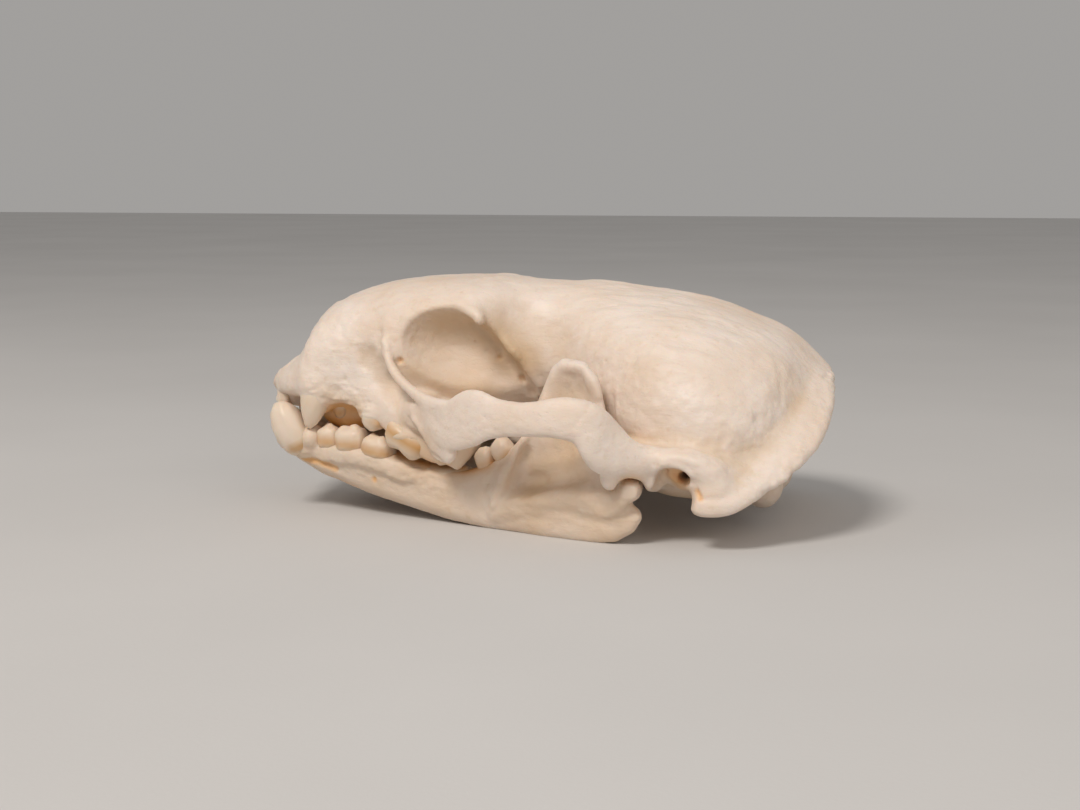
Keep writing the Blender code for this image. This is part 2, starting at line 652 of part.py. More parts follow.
LOWER_TEETH = [
    ("i2", (-65.4, 2.4, 20.6), (2.4, 2.6, 6.8), 2.4, (), (0, -20, 0)),
    ("i3", (-65.2, 5.8, 20.8), (2.8, 3.0, 6.8), 2.4, (), (0, -20, 0)),
    ("c", (-62.0, 16.2, 20.4), (8.8, 8.6, 14.4), 2.3, (), (-6, -26, 0), 0.15),
    ("p2", (-51.6, 16.8, 18.5), (5.8, 5.2, 5.8), 2.8, ((0, 0, 0.7),), (0, -6, 6)),
    ("p3", (-45.0, 18.6, 18.4), (8.0, 6.6, 6.2), 3.0, ((-0.5, 0.2, 0.7), (0.4, 0.2, 0.9)), (0, -4, 10)),
    ("p4", (-37.3, 20.5, 17.0), (8.0, 7.4, 5.6), 3.0, ((0.4, 0.4, 0.7), (-0.4, 0.3, 0.9)), (0, 8, 14)),
    ("m1", (-21.0, 20.6, 10.9), (16.0, 8.6, 5.4), 3.2, LOWER_GRINDER, (-6, 1, 14)),
    ("m1 heel", (-8.9, 24.2, 15.7), (5.0, 5.6, 6.2), 2.8, ((-0.3, 0.3, 0.3), (0.5, 0.3, 0.4)), (-6, -14, 18)),
    ("m2", (-4.3, 26.2, 18.3), (5.4, 5.2, 6.2), 2.6, ((0, 0, 0.4),), (-6, -24, 20)),
]


def sockets(side):
    """The swelling of the upper jaw round each tooth's root."""
    made = []
    for name, (x, y, z), (length, breadth, height), *rest in UPPER_TEETH:
        centre = (x, side * y, z - height / 2 - ROOT_DEPTH)
        radii = (length / 2 + SOCKET_WALL, breadth / 2 + SOCKET_WALL, ROOT_DEPTH)
        made.append(ellipsoid("socket", centre, radii, segments=16))
    return made


def teeth(rows, sides):
    made = []
    for side in sides:
        for name, *rest in rows:
            made.append(tooth(name, side, *rest))
    return made


# The joints in each cheek arch, seen from the side: the jugal lies between them.
JUGAL_FRONT = ((-17.8, 42.0), (-15.2, 8.0))
JUGAL_REAR = ((22.5, 42.0), (0.3, 8.0))
JUGAL_INNER = 31.5
JUGAL_OUTER = 60.0


def jugal_block(side, grow):
    (xa, za), (xb, zb) = JUGAL_FRONT
    (xc, zc), (xd, zd) = JUGAL_REAR
    outline = [(xa - grow, za), (xb - grow, zb), (xd + grow, zd), (xc + grow, zc)]
    return prism("jugal_block", outline, side * JUGAL_INNER, side * JUGAL_OUTER)


def cranium():
    pieces = [core(), maxilla()]
    for side in SIDES.values():
        pieces += face_and_base(side)
    bone = fused("cranium", pieces)
    cutters = midline_openings()
    for side in SIDES.values():
        cutters += openings(side)
    combine(bone, cutters, "DIFFERENCE")
    blades = [bone]
    for side in SIDES.values():
        blades += [cheek_arch(side), orbit_strut(side), nuchal_crest(side), brow(side)]
        blades += sockets(side)
    bone = fused("cranium", blades)
    smoothed(bone, CRANIUM_SMOOTHING)
    softened(bone, SOFT_PLACES, CREASE_SMOOTHING)
    sculpted(bone, CRANIUM_STROKES, SIDES.values())
    rooms = []
    ears = []
    for side in SIDES.values():
        rooms += joint_room(side)
        ears.append(ellipsoid("ear_opening", (40.3, side * 41.0, 16.2), (2.1, 7.0, 1.8)))
    combine(bone, rooms, "DIFFERENCE")
    thinned(bone, CRANIUM_TRIANGLES)
    combine(bone, ears, "DIFFERENCE")
    largest_only(bone)
    return bone


def jugals_cut_from(bone):
    for name, side in SIDES.items():
        jugal = bpy.data.objects.new("jugal_" + name, bone.data.copy())
        skull.objects.link(jugal)
        combine(jugal, [jugal_block(side, -HALF_GAP)], "INTERSECT")
        largest_only(jugal)
    combine(bone, [jugal_block(side, HALF_GAP) for side in SIDES.values()], "DIFFERENCE")
    largest_only(bone)


# One half of the lower jaw, seen from its side, in x and z.
JAW_OUTLINE = [
    (-67.4, 20.4), (-66.8, 17.0), (-62.4, 11.8), (-54.8, 8.1), (-42.2, 5.0), (-28.8, 2.4), (-17.8, 0.4),
    (-8.0, -0.5), (8.0, -0.6), (20.0, -0.5), (25.4, 0.4), (29.6, 3.0), (31.4, 6.4), (30.4, 8.2),
    (28.4, 9.4), (28.8, 12.4), (27.0, 15.0), (24.0, 17.0), (22.6, 23.0), (22.0, 30.0), (20.2, 37.0),
    (16.6, 40.9), (11.0, 41.3), (8.2, 38.8), (5.2, 31.8), (1.2, 22.8), (-3.2, 18.0), (-8.0, 14.8),
    (-14.1, 12.8), (-22.1, 13.2), (-31.2, 15.2), (-39.5, 17.2), (-46.7, 18.0), (-54.0, 18.8),
    (-60.0, 19.4),
]
# How far out the middle of the jaw's thickness lies, half that thickness, and how much further out
# each millimetre of height takes it, against x.
JAW_X = [-70, -62, -55, -50, -46, -38, -30, -20, -10, -2, 6, 15, 24, 32]
JAW_MIDDLE = [5.0, 6.6, 8.2, 9.4, 12.4, 16.2, 18.2, 21.0, 24.0, 26.8, 30.4, 33.8, 36.6, 38.2]
JAW_HALF = [6.0, 7.4, 8.4, 8.6, 7.0, 5.7, 5.5, 5.2, 4.9, 4.6, 3.9, 3.3, 2.9, 2.7]
JAW_LEAN = [0.30, 0.30, 0.24, 0.22, 0.20, 0.15, 0.08, 0.03, 0, -0.02, -0.05, -0.06, -0.07, -0.07]
JAW_MIDDLE_HEIGHT = 10
EDGE_ROUND = 3.4
JAW_STROKES = [
    ([(3.0, 32.0, 15.0), (9.0, 33.5, 18.0), (12.0, 34.5, 25.0), (13.0, 34.5, 33.0)], 8.0, -2.3, (0, 1, 0)),
    ([(0.0, 31.0, 11.5), (8.0, 34.0, 13.5), (16.0, 36.5, 15.5)], 4.6, -1.6, (0, 1, 0)),
    ([(-5.0, 30.0, 4.5), (2.6, 33.0, 6.8), (11.5, 36.0, 9.2), (19.0, 38.5, 10.0)], 3.4, 1.3, (0, 1, 0)),
    ([(-5.4, 30.0, 9.0), (-3.0, 31.0, 14.0), (1.0, 32.0, 22.0), (6.0, 33.5, 33.0),
      (10.0, 34.0, 39.5), (17.0, 34.5, 39.5), (20.5, 34.5, 34.0)], 2.8, 1.1, (0, 1, 0)),
]


def jaw_plate(name, side):
    """The jaw's outline given its thickness, its rounded edges and its outward sweep."""
    plate = melted(prism(name, JAW_OUTLINE, -4, 4))
    points = points_of(plate)
    x, z = points[:, 0], points[:, 2]
    rim = [(a, 0, c) for a, c in JAW_OUTLINE]
    depth = 1 - np.sqrt(1 - np.sqrt(nearness(points * (1, 0, 1), rim + rim[:1], EDGE_ROUND)))
    middle = np.interp(x, JAW_X, JAW_MIDDLE)
    middle += (z - JAW_MIDDLE_HEIGHT) * np.interp(x, JAW_X, JAW_LEAN)
    half = np.interp(x, JAW_X, JAW_HALF)
    half *= 1 - 0.4 * np.interp(z, [10, 18], [0, 1]) * np.interp(x, [-6, 4], [0, 1])
    bulge = np.sqrt(1 - 0.8 * depth ** 2)
    points[:, 1] = side * (middle + points[:, 1] / 4 * half * bulge)
    move_points(plate, points)
    if side < 0:
        plate.data.flip_normals()
    return plate


def condyle(side):
    """The roller that the jaw turns on, slimmer at its ends, above the rear of the jaw."""
    (x_in, low, z_in), (x_out, high, z_out) = JOINT_INNER, JOINT_OUTER
    full, slim = 2 * CONDYLE_RADIUS, 1.4 * CONDYLE_RADIUS
    rows = [
        (x_in, low, z_in, slim, slim, 0),
        (*along_joint(1, low + 3.5), full, full, 0),
        (*along_joint(1, high - 3.5), full, full, 0),
        (x_out, high, z_out, slim, slim, 0),
    ]
    return bar("condyle", rows, side)


def neck(side):
    """The ridge that runs forward from the condyle's outer end and dies away in the jaw's blade."""
    rows = [
        (28.4, 41.6, 12.2, 3.6, 3.0, 0),
        (26.6, 40.8, 10.6, 5.0, 3.2, 0),
        (23.0, 39.2, 9.0, 6.6, 3.2, 0),
        (17.5, 36.8, 8.0, 7.0, 3.2, 0),
    ]
    return bar("neck", rows, side)


def lower_margin(side):
    """The outer edge of the jaw round the necks of the cheek teeth."""
    rows = [
        (-56.5, 14.8, 14.8, 5.0, 4.6, 0),
        (-51.4, 17.0, 14.6, 5.0, 4.6, 0),
        (-45.0, 19.4, 14.6, 5.0, 4.6, 0),
        (-37.5, 21.6, 13.8, 5.0, 4.6, 0),
        (-31.0, 22.6, 11.8, 5.0, 4.6, 0),
        (-24.0, 22.8, 10.0, 5.0, 4.6, 0),
    ]
    return bar("lower_margin", rows, side)


def mandible(name, side):
    pieces = [
        jaw_plate(name, side),
        condyle(side),
        lower_margin(side),
        neck(side),
        ellipsoid("canine_socket", (-58.4, side * 14.0, 16.0), (4.6, 4.4, 4.0), (0, 30, 0)),
        ellipsoid("symphysis", (-56.6, side * 3.2, 13.6), (11.0, 5.0, 5.6), (0, 22, 0)),
        ellipsoid("alveolar_spur", (-56.4, side * 15.5, 18.2), (3.0, 4.2, 3.4)),
    ]
    bone = fused(name, pieces)
    smoothed(bone, JAW_SMOOTHING)
    sculpted(bone, JAW_STROKES, [side])
    return thinned(bone, MANDIBLE_TRIANGLES)


def sliced(obj, point, normal):
    """Cuts away what lies beyond a plane, on the side that the normal points to, and caps the cut."""
    bm = bmesh.new()
    bm.from_mesh(obj.data)
    cut = bmesh.ops.bisect_plane(bm, geom=bm.verts[:] + bm.edges[:] + bm.faces[:],
                                 plane_co=Vector(point) * MM, plane_no=normal, clear_outer=True)
    rim = [e for e in cut["geom_cut"] if isinstance(e, bmesh.types.BMEdge)]
    bmesh.ops.holes_fill(bm, edges=rim)
    bmesh.ops.triangulate(bm, faces=bm.faces)
    bm.to_mesh(obj.data)
    bm.free()
    return obj


def finished(nodes):
    """Moves the whole skull so that the origin is under its middle, and gives each bone its look."""
    corners = np.vstack([points_of(node) for node in nodes])
    low, high = corners.min(axis=0), corners.max(axis=0)
    shift = np.array(((low[0] + high[0]) / 2, (low[1] + high[1]) / 2, low[2]))
    for node in nodes:
        move_points(node, points_of(node) - shift)
        look = bpy.data.materials.new(node.name + "_bone")
        look.use_nodes = True
        shader = look.node_tree.nodes["Principled BSDF"]
        shader.inputs["Base Color"].default_value = (*BONE_COLOUR, 1)
        shader.inputs["Roughness"].default_value = 0.5
        shader.inputs["Metallic"].default_value = 0
        node.data.materials.clear()
        node.data.materials.append(look)


def built():
    bone = cranium()
    combine(bone, teeth(UPPER_TEETH, SIDES.values()), "UNION")
    largest_only(bone)
    jugals_cut_from(bone)
    for name, side in SIDES.items():
        jaw = mandible("mandible_" + name, side)
        combine(jaw, teeth(LOWER_TEETH, [side]), "UNION")
        sliced(jaw, (0, side * HALF_GAP, 0), (0, -side, 0))
        sliced(jaw, (0, 0, 0), (0, 0, -1))
        largest_only(jaw)
    finished(list(skull.objects))


built()
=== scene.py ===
"""The looks of a sea otter skull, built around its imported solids.

The script goes from the bone of the skull to its teeth, the lower jaw and the studio. Places are in
millimetres, with the nose towards -X and the left side of the skull towards -Y, and MM turns them to
metres. Paired features are given once, for the right side at +Y.
"""
import math

import bmesh
import bpy
import numpy as np
from mathutils import Matrix, Vector, noise


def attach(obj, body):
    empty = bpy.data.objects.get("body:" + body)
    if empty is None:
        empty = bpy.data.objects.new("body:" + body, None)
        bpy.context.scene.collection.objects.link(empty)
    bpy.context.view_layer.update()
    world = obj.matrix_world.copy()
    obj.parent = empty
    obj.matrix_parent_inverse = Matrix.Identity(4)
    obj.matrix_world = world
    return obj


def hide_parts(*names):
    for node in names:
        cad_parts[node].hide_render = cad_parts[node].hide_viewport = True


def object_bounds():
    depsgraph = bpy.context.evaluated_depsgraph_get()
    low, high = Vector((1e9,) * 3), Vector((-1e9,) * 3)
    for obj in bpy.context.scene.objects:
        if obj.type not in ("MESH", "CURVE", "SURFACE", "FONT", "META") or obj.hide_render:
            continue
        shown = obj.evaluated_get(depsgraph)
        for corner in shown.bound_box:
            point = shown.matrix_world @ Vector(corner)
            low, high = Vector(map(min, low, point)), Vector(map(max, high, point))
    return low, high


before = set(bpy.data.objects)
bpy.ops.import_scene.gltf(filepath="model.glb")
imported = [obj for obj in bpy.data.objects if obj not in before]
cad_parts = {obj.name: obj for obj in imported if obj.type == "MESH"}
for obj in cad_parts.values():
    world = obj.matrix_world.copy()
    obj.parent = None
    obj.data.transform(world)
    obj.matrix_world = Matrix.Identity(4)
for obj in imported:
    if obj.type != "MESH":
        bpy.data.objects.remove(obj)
cad_low, cad_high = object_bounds()

# The skull bone, from the snout to the crest and with both cheek arches, is one piece of bleached bone.
# Its plates have knitted together, so that only the joint at the rear of each cheekbone still shows.
MM = 0.001
SIDES = {"left": -1, "right": 1}
BOTH = tuple(SIDES.values())

# How finely the bone is worked, and how many more rounds of smoothing that takes than coarse bone.
VOXEL = 0.5
FINER = (0.75 / VOXEL) ** 2
BONE_TRIANGLES = 190000

scene = bpy.context.scene
skull = bpy.data.collections.new("skull")
scene.collection.children.link(skull)


def object_of(name, bm):
    mesh = bpy.data.meshes.new(name)
    bmesh.ops.recalc_face_normals(bm, faces=bm.faces)
    bm.to_mesh(mesh)
    bm.free()
    made = bpy.data.objects.new(name, mesh)
    skull.objects.link(made)
    return made


def mirrored(path, side):
    """A path of the right side, taken to the given side."""
    return [(x, side * y, z) for x, y, z in path]


def turned(bm, turn, side):
    """Turns a shape by degrees about X, Y and Z, the way round that its side needs."""
    for angle, axis, way in zip(turn, "XYZ", (side, 1, side)):
        spin = Matrix.Rotation(math.radians(way * angle), 3, axis)
        bmesh.ops.rotate(bm, matrix=spin, verts=bm.verts)


def placed(name, bm, centre, side):
    bmesh.ops.translate(bm, vec=Vector(mirrored([centre], side)[0]) * MM, verts=bm.verts)
    return object_of(name, bm)


def ellipsoid(name, centre, radii, turn=(0, 0, 0), segments=28, side=1):
    """An ellipsoid with its radii along X, Y and Z, then turned."""
    bm = bmesh.new()
    bmesh.ops.create_uvsphere(bm, u_segments=segments, v_segments=segments // 2, radius=1)
    bmesh.ops.scale(bm, vec=Vector(radii) * MM, verts=bm.verts)
    turned(bm, turn, side)
    return placed(name, bm, centre, side)


def rod(name, start, end, radius, sides=20):
    """A round rod from start to end."""
    bm = bmesh.new()
    start, end = Vector(start), Vector(end)
    length = (end - start).length
    bmesh.ops.create_cone(bm, cap_ends=True, segments=sides, radius1=radius * MM,
                          radius2=radius * MM, depth=length * MM)
    turn = (end - start).to_track_quat("Z", "Y").to_matrix()
    bmesh.ops.rotate(bm, matrix=turn, verts=bm.verts)
    bmesh.ops.translate(bm, vec=(start + end) / 2 * MM, verts=bm.verts)
    return object_of(name, bm)


def prism(name, outline, near, far):
    """A block with the given outline in X and Z, from y = near to y = far."""
    bm = bmesh.new()
    face = bm.faces.new([bm.verts.new((x * MM, near * MM, z * MM)) for x, z in outline])
    grown = bmesh.ops.extrude_face_region(bm, geom=[face])
    moved = [v for v in grown["geom"] if isinstance(v, bmesh.types.BMVert)]
    bmesh.ops.translate(bm, vec=(0, (far - near) * MM, 0), verts=moved)
    return object_of(name, bm)


def eased(rows, count):
    """The rows of a table of stations, joined by a smooth curve and read at count places."""
    rows = np.array(rows, float)
    last = len(rows) - 1
    padded = np.vstack([2 * rows[0] - rows[1], rows, 2 * rows[-1] - rows[-2]])
    out = []
    for at in np.linspace(0, last, count):
        i = min(int(at), last - 1)
        t = at - i
        a, b, c, d = padded[i:i + 4]
        out.append(0.5 * (2 * b + (c - a) * t + (2 * a - 5 * b + 4 * c - d) * t ** 2
                          + (3 * b - a - 3 * c + d) * t ** 3))
    return np.array(out)


def loft(name, rings):
    """A closed solid through rings of points, each ring with as many points as the next."""
    bm = bmesh.new()
    made = [[bm.verts.new(Vector(p) * MM) for p in ring] for ring in rings]
    for near, far in zip(made, made[1:]):
        for i in range(len(near)):
            j = (i + 1) % len(near)
            bm.faces.new((near[i], near[j], far[j], far[i]))
    bm.faces.new(made[0])
    bm.faces.new(made[-1])
    bmesh.ops.triangulate(bm, faces=bm.faces)
    return object_of(name, bm)


def power(value, exponent):
    return math.copysign(abs(value) ** exponent, value)


def section(x, top, bottom, half, widest, squareness, base_squareness, points=36):
    """A ring across the skull at x: half breadth half at height widest, squarer as squareness grows."""
    ring = []
    for k in range(points):
        angle = 2 * math.pi * k / points
        c, s = math.cos(angle), math.sin(angle)
        n = squareness if s > 0 else base_squareness
        reach = top - widest if s > 0 else widest - bottom
        ring.append((x, half * power(c, 2 / n), widest + reach * power(s, 2 / n)))
    return ring


def bar(name, rows, side=1, points=16, count=40):
    """A bar along a path. Each row: x, y, z of its middle, its height, thickness and, if any, lean.

    Lean turns the section about the path, in degrees: positive tips the top of the bar inwards.
    """
    rows = eased([(*row, 0)[:6] for row in rows], count)
    rows[:, 1] *= side
    rings = []
    for i, row in enumerate(rows):
        middle = Vector(row[:3])
        along = Vector(rows[min(i + 1, count - 1)][:3]) - Vector(rows[max(i - 1, 0)][:3])
        along.normalize()
        across = along.cross(Vector((0, 0, 1))).normalized()
        up = across.cross(along)
        turn = Matrix.Rotation(math.radians(side * row[5]), 3, along)
        across, up = turn @ across, turn @ up
        ring = []
        for k in range(points):
            angle = 2 * math.pi * k / points
            ring.append(middle + up * (row[3] / 2 * power(math.sin(angle), 0.8))
                        + across * (row[4] / 2 * power(math.cos(angle), 0.8)))
        rings.append(ring)
    return loft(name, rings)


def fin(name, rows, side=1, count=40):
    """A thin blade of bone.

    Each row: x, y, z of its buried root, x, y, z of its edge, and how thick it is at root and edge.
    """
    rows = eased(rows, count)
    rows[:, [1, 4]] *= side
    rings = []
    for i, row in enumerate(rows):
        root, edge = Vector(row[:3]), Vector(row[3:6])
        along = Vector(rows[min(i + 1, count - 1)][3:6]) - Vector(rows[max(i - 1, 0)][3:6])
        flat = along.cross(edge - root).normalized()
        rings.append([root + flat * row[6] / 2, edge + flat * row[7] / 2,
                      edge + (edge - root).normalized() * row[7] / 3,
                      edge - flat * row[7] / 2, root - flat * row[6] / 2])
    return loft(name, rings)


def modified(obj, kind, **settings):
    """Gives the object the mesh that one modifier makes of it."""
    modifier = obj.modifiers.new(kind, kind)
    for key, value in settings.items():
        setattr(modifier, key, value)
    bpy.context.view_layer.update()
    graph = bpy.context.evaluated_depsgraph_get()
    mesh = bpy.data.meshes.new_from_object(obj.evaluated_get(graph))
    obj.modifiers.clear()
    obj.data = mesh
    return obj


def melted(obj):
    """Remeshed with small even cells, which melts pieces that overlap into one skin."""
    return modified(obj, "REMESH", mode="VOXEL", voxel_size=VOXEL * MM)


def joined(name, pieces):
    """The pieces as one object, each with the mesh that it has."""
    bm = bmesh.new()
    for piece in pieces:
        bm.from_mesh(piece.data)
        bpy.data.objects.remove(piece)
    return object_of(name, bm)


def fused(name, pieces):
    return melted(joined(name, pieces))


def cut(obj, cutters):
    """Cuts all the cutters from the object in one Boolean."""
    together = bpy.data.collections.new("cutters")
    scene.collection.children.link(together)
    for cutter in cutters:
        skull.objects.unlink(cutter)
        together.objects.link(cutter)
    modified(obj, "BOOLEAN", operation="DIFFERENCE", solver="MANIFOLD", operand_type="COLLECTION",
             collection=together)
    for cutter in cutters:
        bpy.data.objects.remove(cutter)
    bpy.data.collections.remove(together)


def smoothed(obj, rounds, group=""):
    modified(obj, "SMOOTH", factor=0.5, iterations=rounds, vertex_group=group)


def thinned(obj, triangles):
    count = sum(len(p.vertices) - 2 for p in obj.data.polygons)
    modified(obj, "DECIMATE", ratio=min(1.0, triangles / count), use_collapse_triangulate=True)


def triples(values, key):
    read = np.empty(len(values) * 3)
    values.foreach_get(key, read)
    return read.reshape(-1, 3)


def points_of(obj):
    """Where the mesh's points are, in millimetres."""
    return triples(obj.data.vertices, "co") / MM


def normals_of(obj):
    return triples(obj.data.vertex_normals, "vector")


def move_points(obj, points):
    obj.data.vertices.foreach_set("co", (points * MM).ravel())
    obj.data.update()


def nearness(points, path, radius):
    """1 on the path and 0 beyond radius from it, easing between."""
    path = np.array(path, float)
    if len(path) == 1:
        path = np.vstack([path, path])
    best = np.full(len(points), 1e9)
    for start, end in zip(path, path[1:]):
        along = end - start
        at = np.clip(((points - start) @ along) / max(along @ along, 1e-9), 0, 1)
        gap = points - start - at[:, None] * along
        best = np.minimum(best, (gap ** 2).sum(axis=1))
    return np.clip(1 - best / radius ** 2, 0, 1) ** 2


def sculpted(obj, strokes, sides=(1,)):
    """Raises or presses the surface along soft strokes.

    Each stroke: its path, its radius, its height (below 0 presses in) and, unless all of the surface
    is worked, the way that the worked surface faces.
    """
    points = points_of(obj)
    normals = normals_of(obj)
    for path, radius, height, *facing in strokes:
        for side in sides:
            amount = nearness(points, mirrored(path, side), radius) * height
            for way in mirrored(facing, side):
                amount = amount * np.clip(normals @ np.array(way), 0, 1)
            points = points + normals * amount[:, None]
    move_points(obj, points)


# The least part of a smoothing that is worth doing, and how soon it is done in full.
LEAST_WEIGHT = 0.01
SOFT_GAIN = 1.5


def softened(obj, places, rounds):
    """Melts the creases in some places. Each place: its path, for both sides, and its radius."""
    points = points_of(obj)
    weight = np.zeros(len(points))
    for path, radius in places:
        for side in BOTH:
            weight = np.maximum(weight, nearness(points, mirrored(path, side), radius))
    group = obj.vertex_groups.new(name="soft")
    for i in np.flatnonzero(weight > LEAST_WEIGHT):
        group.add([int(i)], float(min(1.0, SOFT_GAIN * weight[i])), "REPLACE")
    smoothed(obj, rounds, group.name)
    obj.vertex_groups.clear()


def largest_only(obj):
    """Keeps the largest closed surface of a mesh and drops the rest."""
    bm = bmesh.new()
    bm.from_mesh(obj.data)
    left = set(bm.verts)
    parts = []
    while left:
        stack = [left.pop()]
        found = set(stack)
        while stack:
            near = {v for edge in stack.pop().link_edges for v in edge.verts} & left
            left -= near
            found |= near
            stack += near
        parts.append(found)
    parts.sort(key=len)
    for scrap in parts[:-1]:
        bmesh.ops.delete(bm, geom=list(scrap), context="VERTS")
    bm.to_mesh(obj.data)
    bm.free()


# The cranium's core, from the front teeth to the crest. Each station, from front to back:
# x, top, bottom, half breadth, height of the widest place, squareness above and below.
CORE = [
    (-71, 32.2, 29.6, 4, 31, 2.2, 2.2),
    (-69.3, 33.3, 28.6, 9, 31, 2.3, 2.4),
    (-66, 35.8, 27.8, 13.6, 31, 2.4, 2.8),
    (-62.5, 38.2, 27.2, 17, 31.6, 2.4, 3),
    (-60.2, 40.3, 27, 18.6, 32.2, 2.4, 3),
    (-58.5, 42.8, 26.9, 19.8, 33, 2.4, 3),
    (-57, 46.6, 26.8, 20.4, 33.6, 2.4, 3),
    (-55, 49.8, 26.6, 20.9, 34.2, 2.5, 3),
    (-52, 51.9, 26.2, 21, 35, 2.6, 3),
    (-48, 53.9, 25.8, 20.8, 36, 2.6, 3),
    (-41, 56.2, 24.8, 21.4, 37, 2.6, 2.8),
    (-33, 57.6, 24, 23.2, 40, 2.6, 2.6),
    (-24, 58.2, 23.5, 22.8, 45, 2.7, 2.4),
    (-14, 58.4, 22.5, 22.3, 47.5, 2.6, 2.2),
    (-8, 58.2, 22, 19.5, 47.5, 2.4, 2),
    (-1, 57.6, 22.5, 16.5, 44, 2.1, 1.9),
    (7, 57.2, 22, 18.5, 39.5, 2, 2),
    (15, 57, 20.5, 24.5, 34.5, 2, 2.2),
    (24, 55.9, 18.5, 32, 29.5, 2, 2.3),
    (34, 54.6, 15.5, 37.5, 26, 2.05, 2.4),
    (44, 52.4, 12.5, 39, 23, 2.05, 2.4),
    (52, 49.4, 10.2, 37, 21, 2.05, 2.2),
    (57, 47.4, 11, 33.5, 22, 2.05, 2),
    (61, 45, 16.5, 28.5, 25, 2, 2),
    (64.5, 42, 23, 21.5, 28.5, 2, 2),
    (67.2, 39, 28, 12, 32, 2, 2),
    (68.4, 37, 31, 5, 33.5, 2, 2),
]

# The part of the face that carries the cheek teeth, and the palate's rear. Same columns.
MAXILLA = [
    (-56, 42, 27.4, 18.5, 30, 2.2, 3.2),
    (-46, 43, 25.2, 20.8, 29, 2.2, 3.4),
    (-38, 42, 22.9, 23.4, 27.5, 2.1, 3.6),
    (-30, 37, 20.6, 26, 24.6, 2.1, 3.6),
    (-22, 30, 19, 27.6, 22.2, 2.6, 3.6),
    (-14.5, 27.5, 18.6, 26.8, 21.8, 2.6, 3.4),
    (-10.5, 26.5, 19.4, 20.5, 22.5, 2.4, 3),
    (-6, 26.5, 19.6, 13, 22.5, 2.2, 2.6),
    (2, 26, 18.6, 10.5, 22, 2.2, 2.4),
    (14, 25, 17, 10, 21, 2.2, 2.4),
]


def hull(name, rows, count):
    return loft(name, [section(*row) for row in eased(rows, count)])


# The bars of bone on one side, in rows as bar takes them.
BARS = {}
# The cheek arch's root, a plate that spreads out above the hindmost teeth.
BARS["zygomatic_root"] = [
    (-28, 19, 27.6, 7.6, 12),
    (-25, 26, 26.4, 7.6, 9),
    (-22, 31, 26.2, 8.4, 5),
    (-18, 34.6, 23.8, 11.6, 3.6),
    (-15.6, 36, 22, 12, 3.2),
    (-13.6, 37.6, 22.6, 9, 3),
]
# The outer edge of the upper jaw, over the roots of the cheek teeth.
BARS["tooth_margin"] = [
    (-50, 17.4, 29.2, 6, 5),
    (-45, 18, 29.2, 6, 5),
    (-40, 20, 26.8, 6.6, 5),
    (-35.8, 21.4, 25.8, 6.4, 5),
    (-30.1, 23.4, 22.6, 6.6, 5),
    (-24.7, 25.2, 19.6, 7, 5.2),
    (-20, 26.2, 18, 7, 5.2),
    (-14.5, 26.8, 18.2, 6, 5.2),
]
# The ridge from the arch's rear end over the ear's opening to the mastoid.
BARS["ear_roof"] = [
    (26, 41, 20.2, 6, 6),
    (31, 41.2, 20, 5.6, 6),
    (36, 40.8, 20.4, 5, 6),
    (41, 41, 20.6, 4.8, 6),
    (45.5, 41.2, 18.8, 6.4, 6),
    (48.5, 40, 15.4, 8, 6),
]
# The cheek arch, a strap that bows out from the cheekbone to the jaw joint.
BARS["cheek_arch"] = [
    (-21.5, 32, 27.2, 8, 4),
    (-18, 35, 26, 10, 3.6),
    (-13.5, 38.5, 25.6, 12, 3.4, 2),
    (-7, 42.3, 28.4, 13.6, 3.4, 4),
    (-0.5, 45.4, 28.8, 9.2, 3.6, 8),
    (7.5, 48.2, 29.2, 8, 4, 10),
    (15, 49.3, 29.9, 9.6, 4.4, 10),
    (21, 48.4, 28.4, 10.4, 4.8, 8),
    (25, 45.8, 22.6, 12, 5.4, 4),
    (30, 42.2, 20.4, 8, 6.2),
    (36, 39, 20, 6, 6.4),
]
# The thin bridge over the canal below: the front lower rim of the eye socket.
BARS["orbit_strut"] = [
    (-34.8, 19.6, 47, 3, 3),
    (-34.6, 22.2, 43.2, 2.8, 2.8),
    (-33.4, 24.6, 39.2, 2.6, 2.6),
    (-30.6, 27.2, 36, 2.5, 2.6),
    (-27, 29.8, 33.4, 2.6, 2.6),
    (-22.6, 32.6, 31.2, 3.2, 2.8),
    (-18.4, 35.2, 29.6, 4.6, 3.2),
    (-14.5, 37.8, 29, 5.6, 3.2),
]
# The brow's point over the eye socket.
BARS["brow"] = [
    (-22, 15, 52.6, 3, 4),
    (-16.5, 19.4, 51.8, 3, 3.6),
    (-12.6, 22, 50.2, 2.6, 2.8),
    (-10.4, 22.8, 49, 1.4, 1.6),
]
# The canal below the eye socket, which is cut away.
BARS["infraorbital_canal"] = [
    (-16, 24, 33.4, 5.6, 5),
    (-24, 25.4, 32.8, 6.4, 6),
    (-30, 26.2, 33.4, 7.6, 7),
    (-35, 25.8, 35.8, 7.4, 5.8),
    (-41, 26.6, 38, 5, 4),
]


def bars(side, *names):
    return [bar(name, BARS[name], side) for name in names]


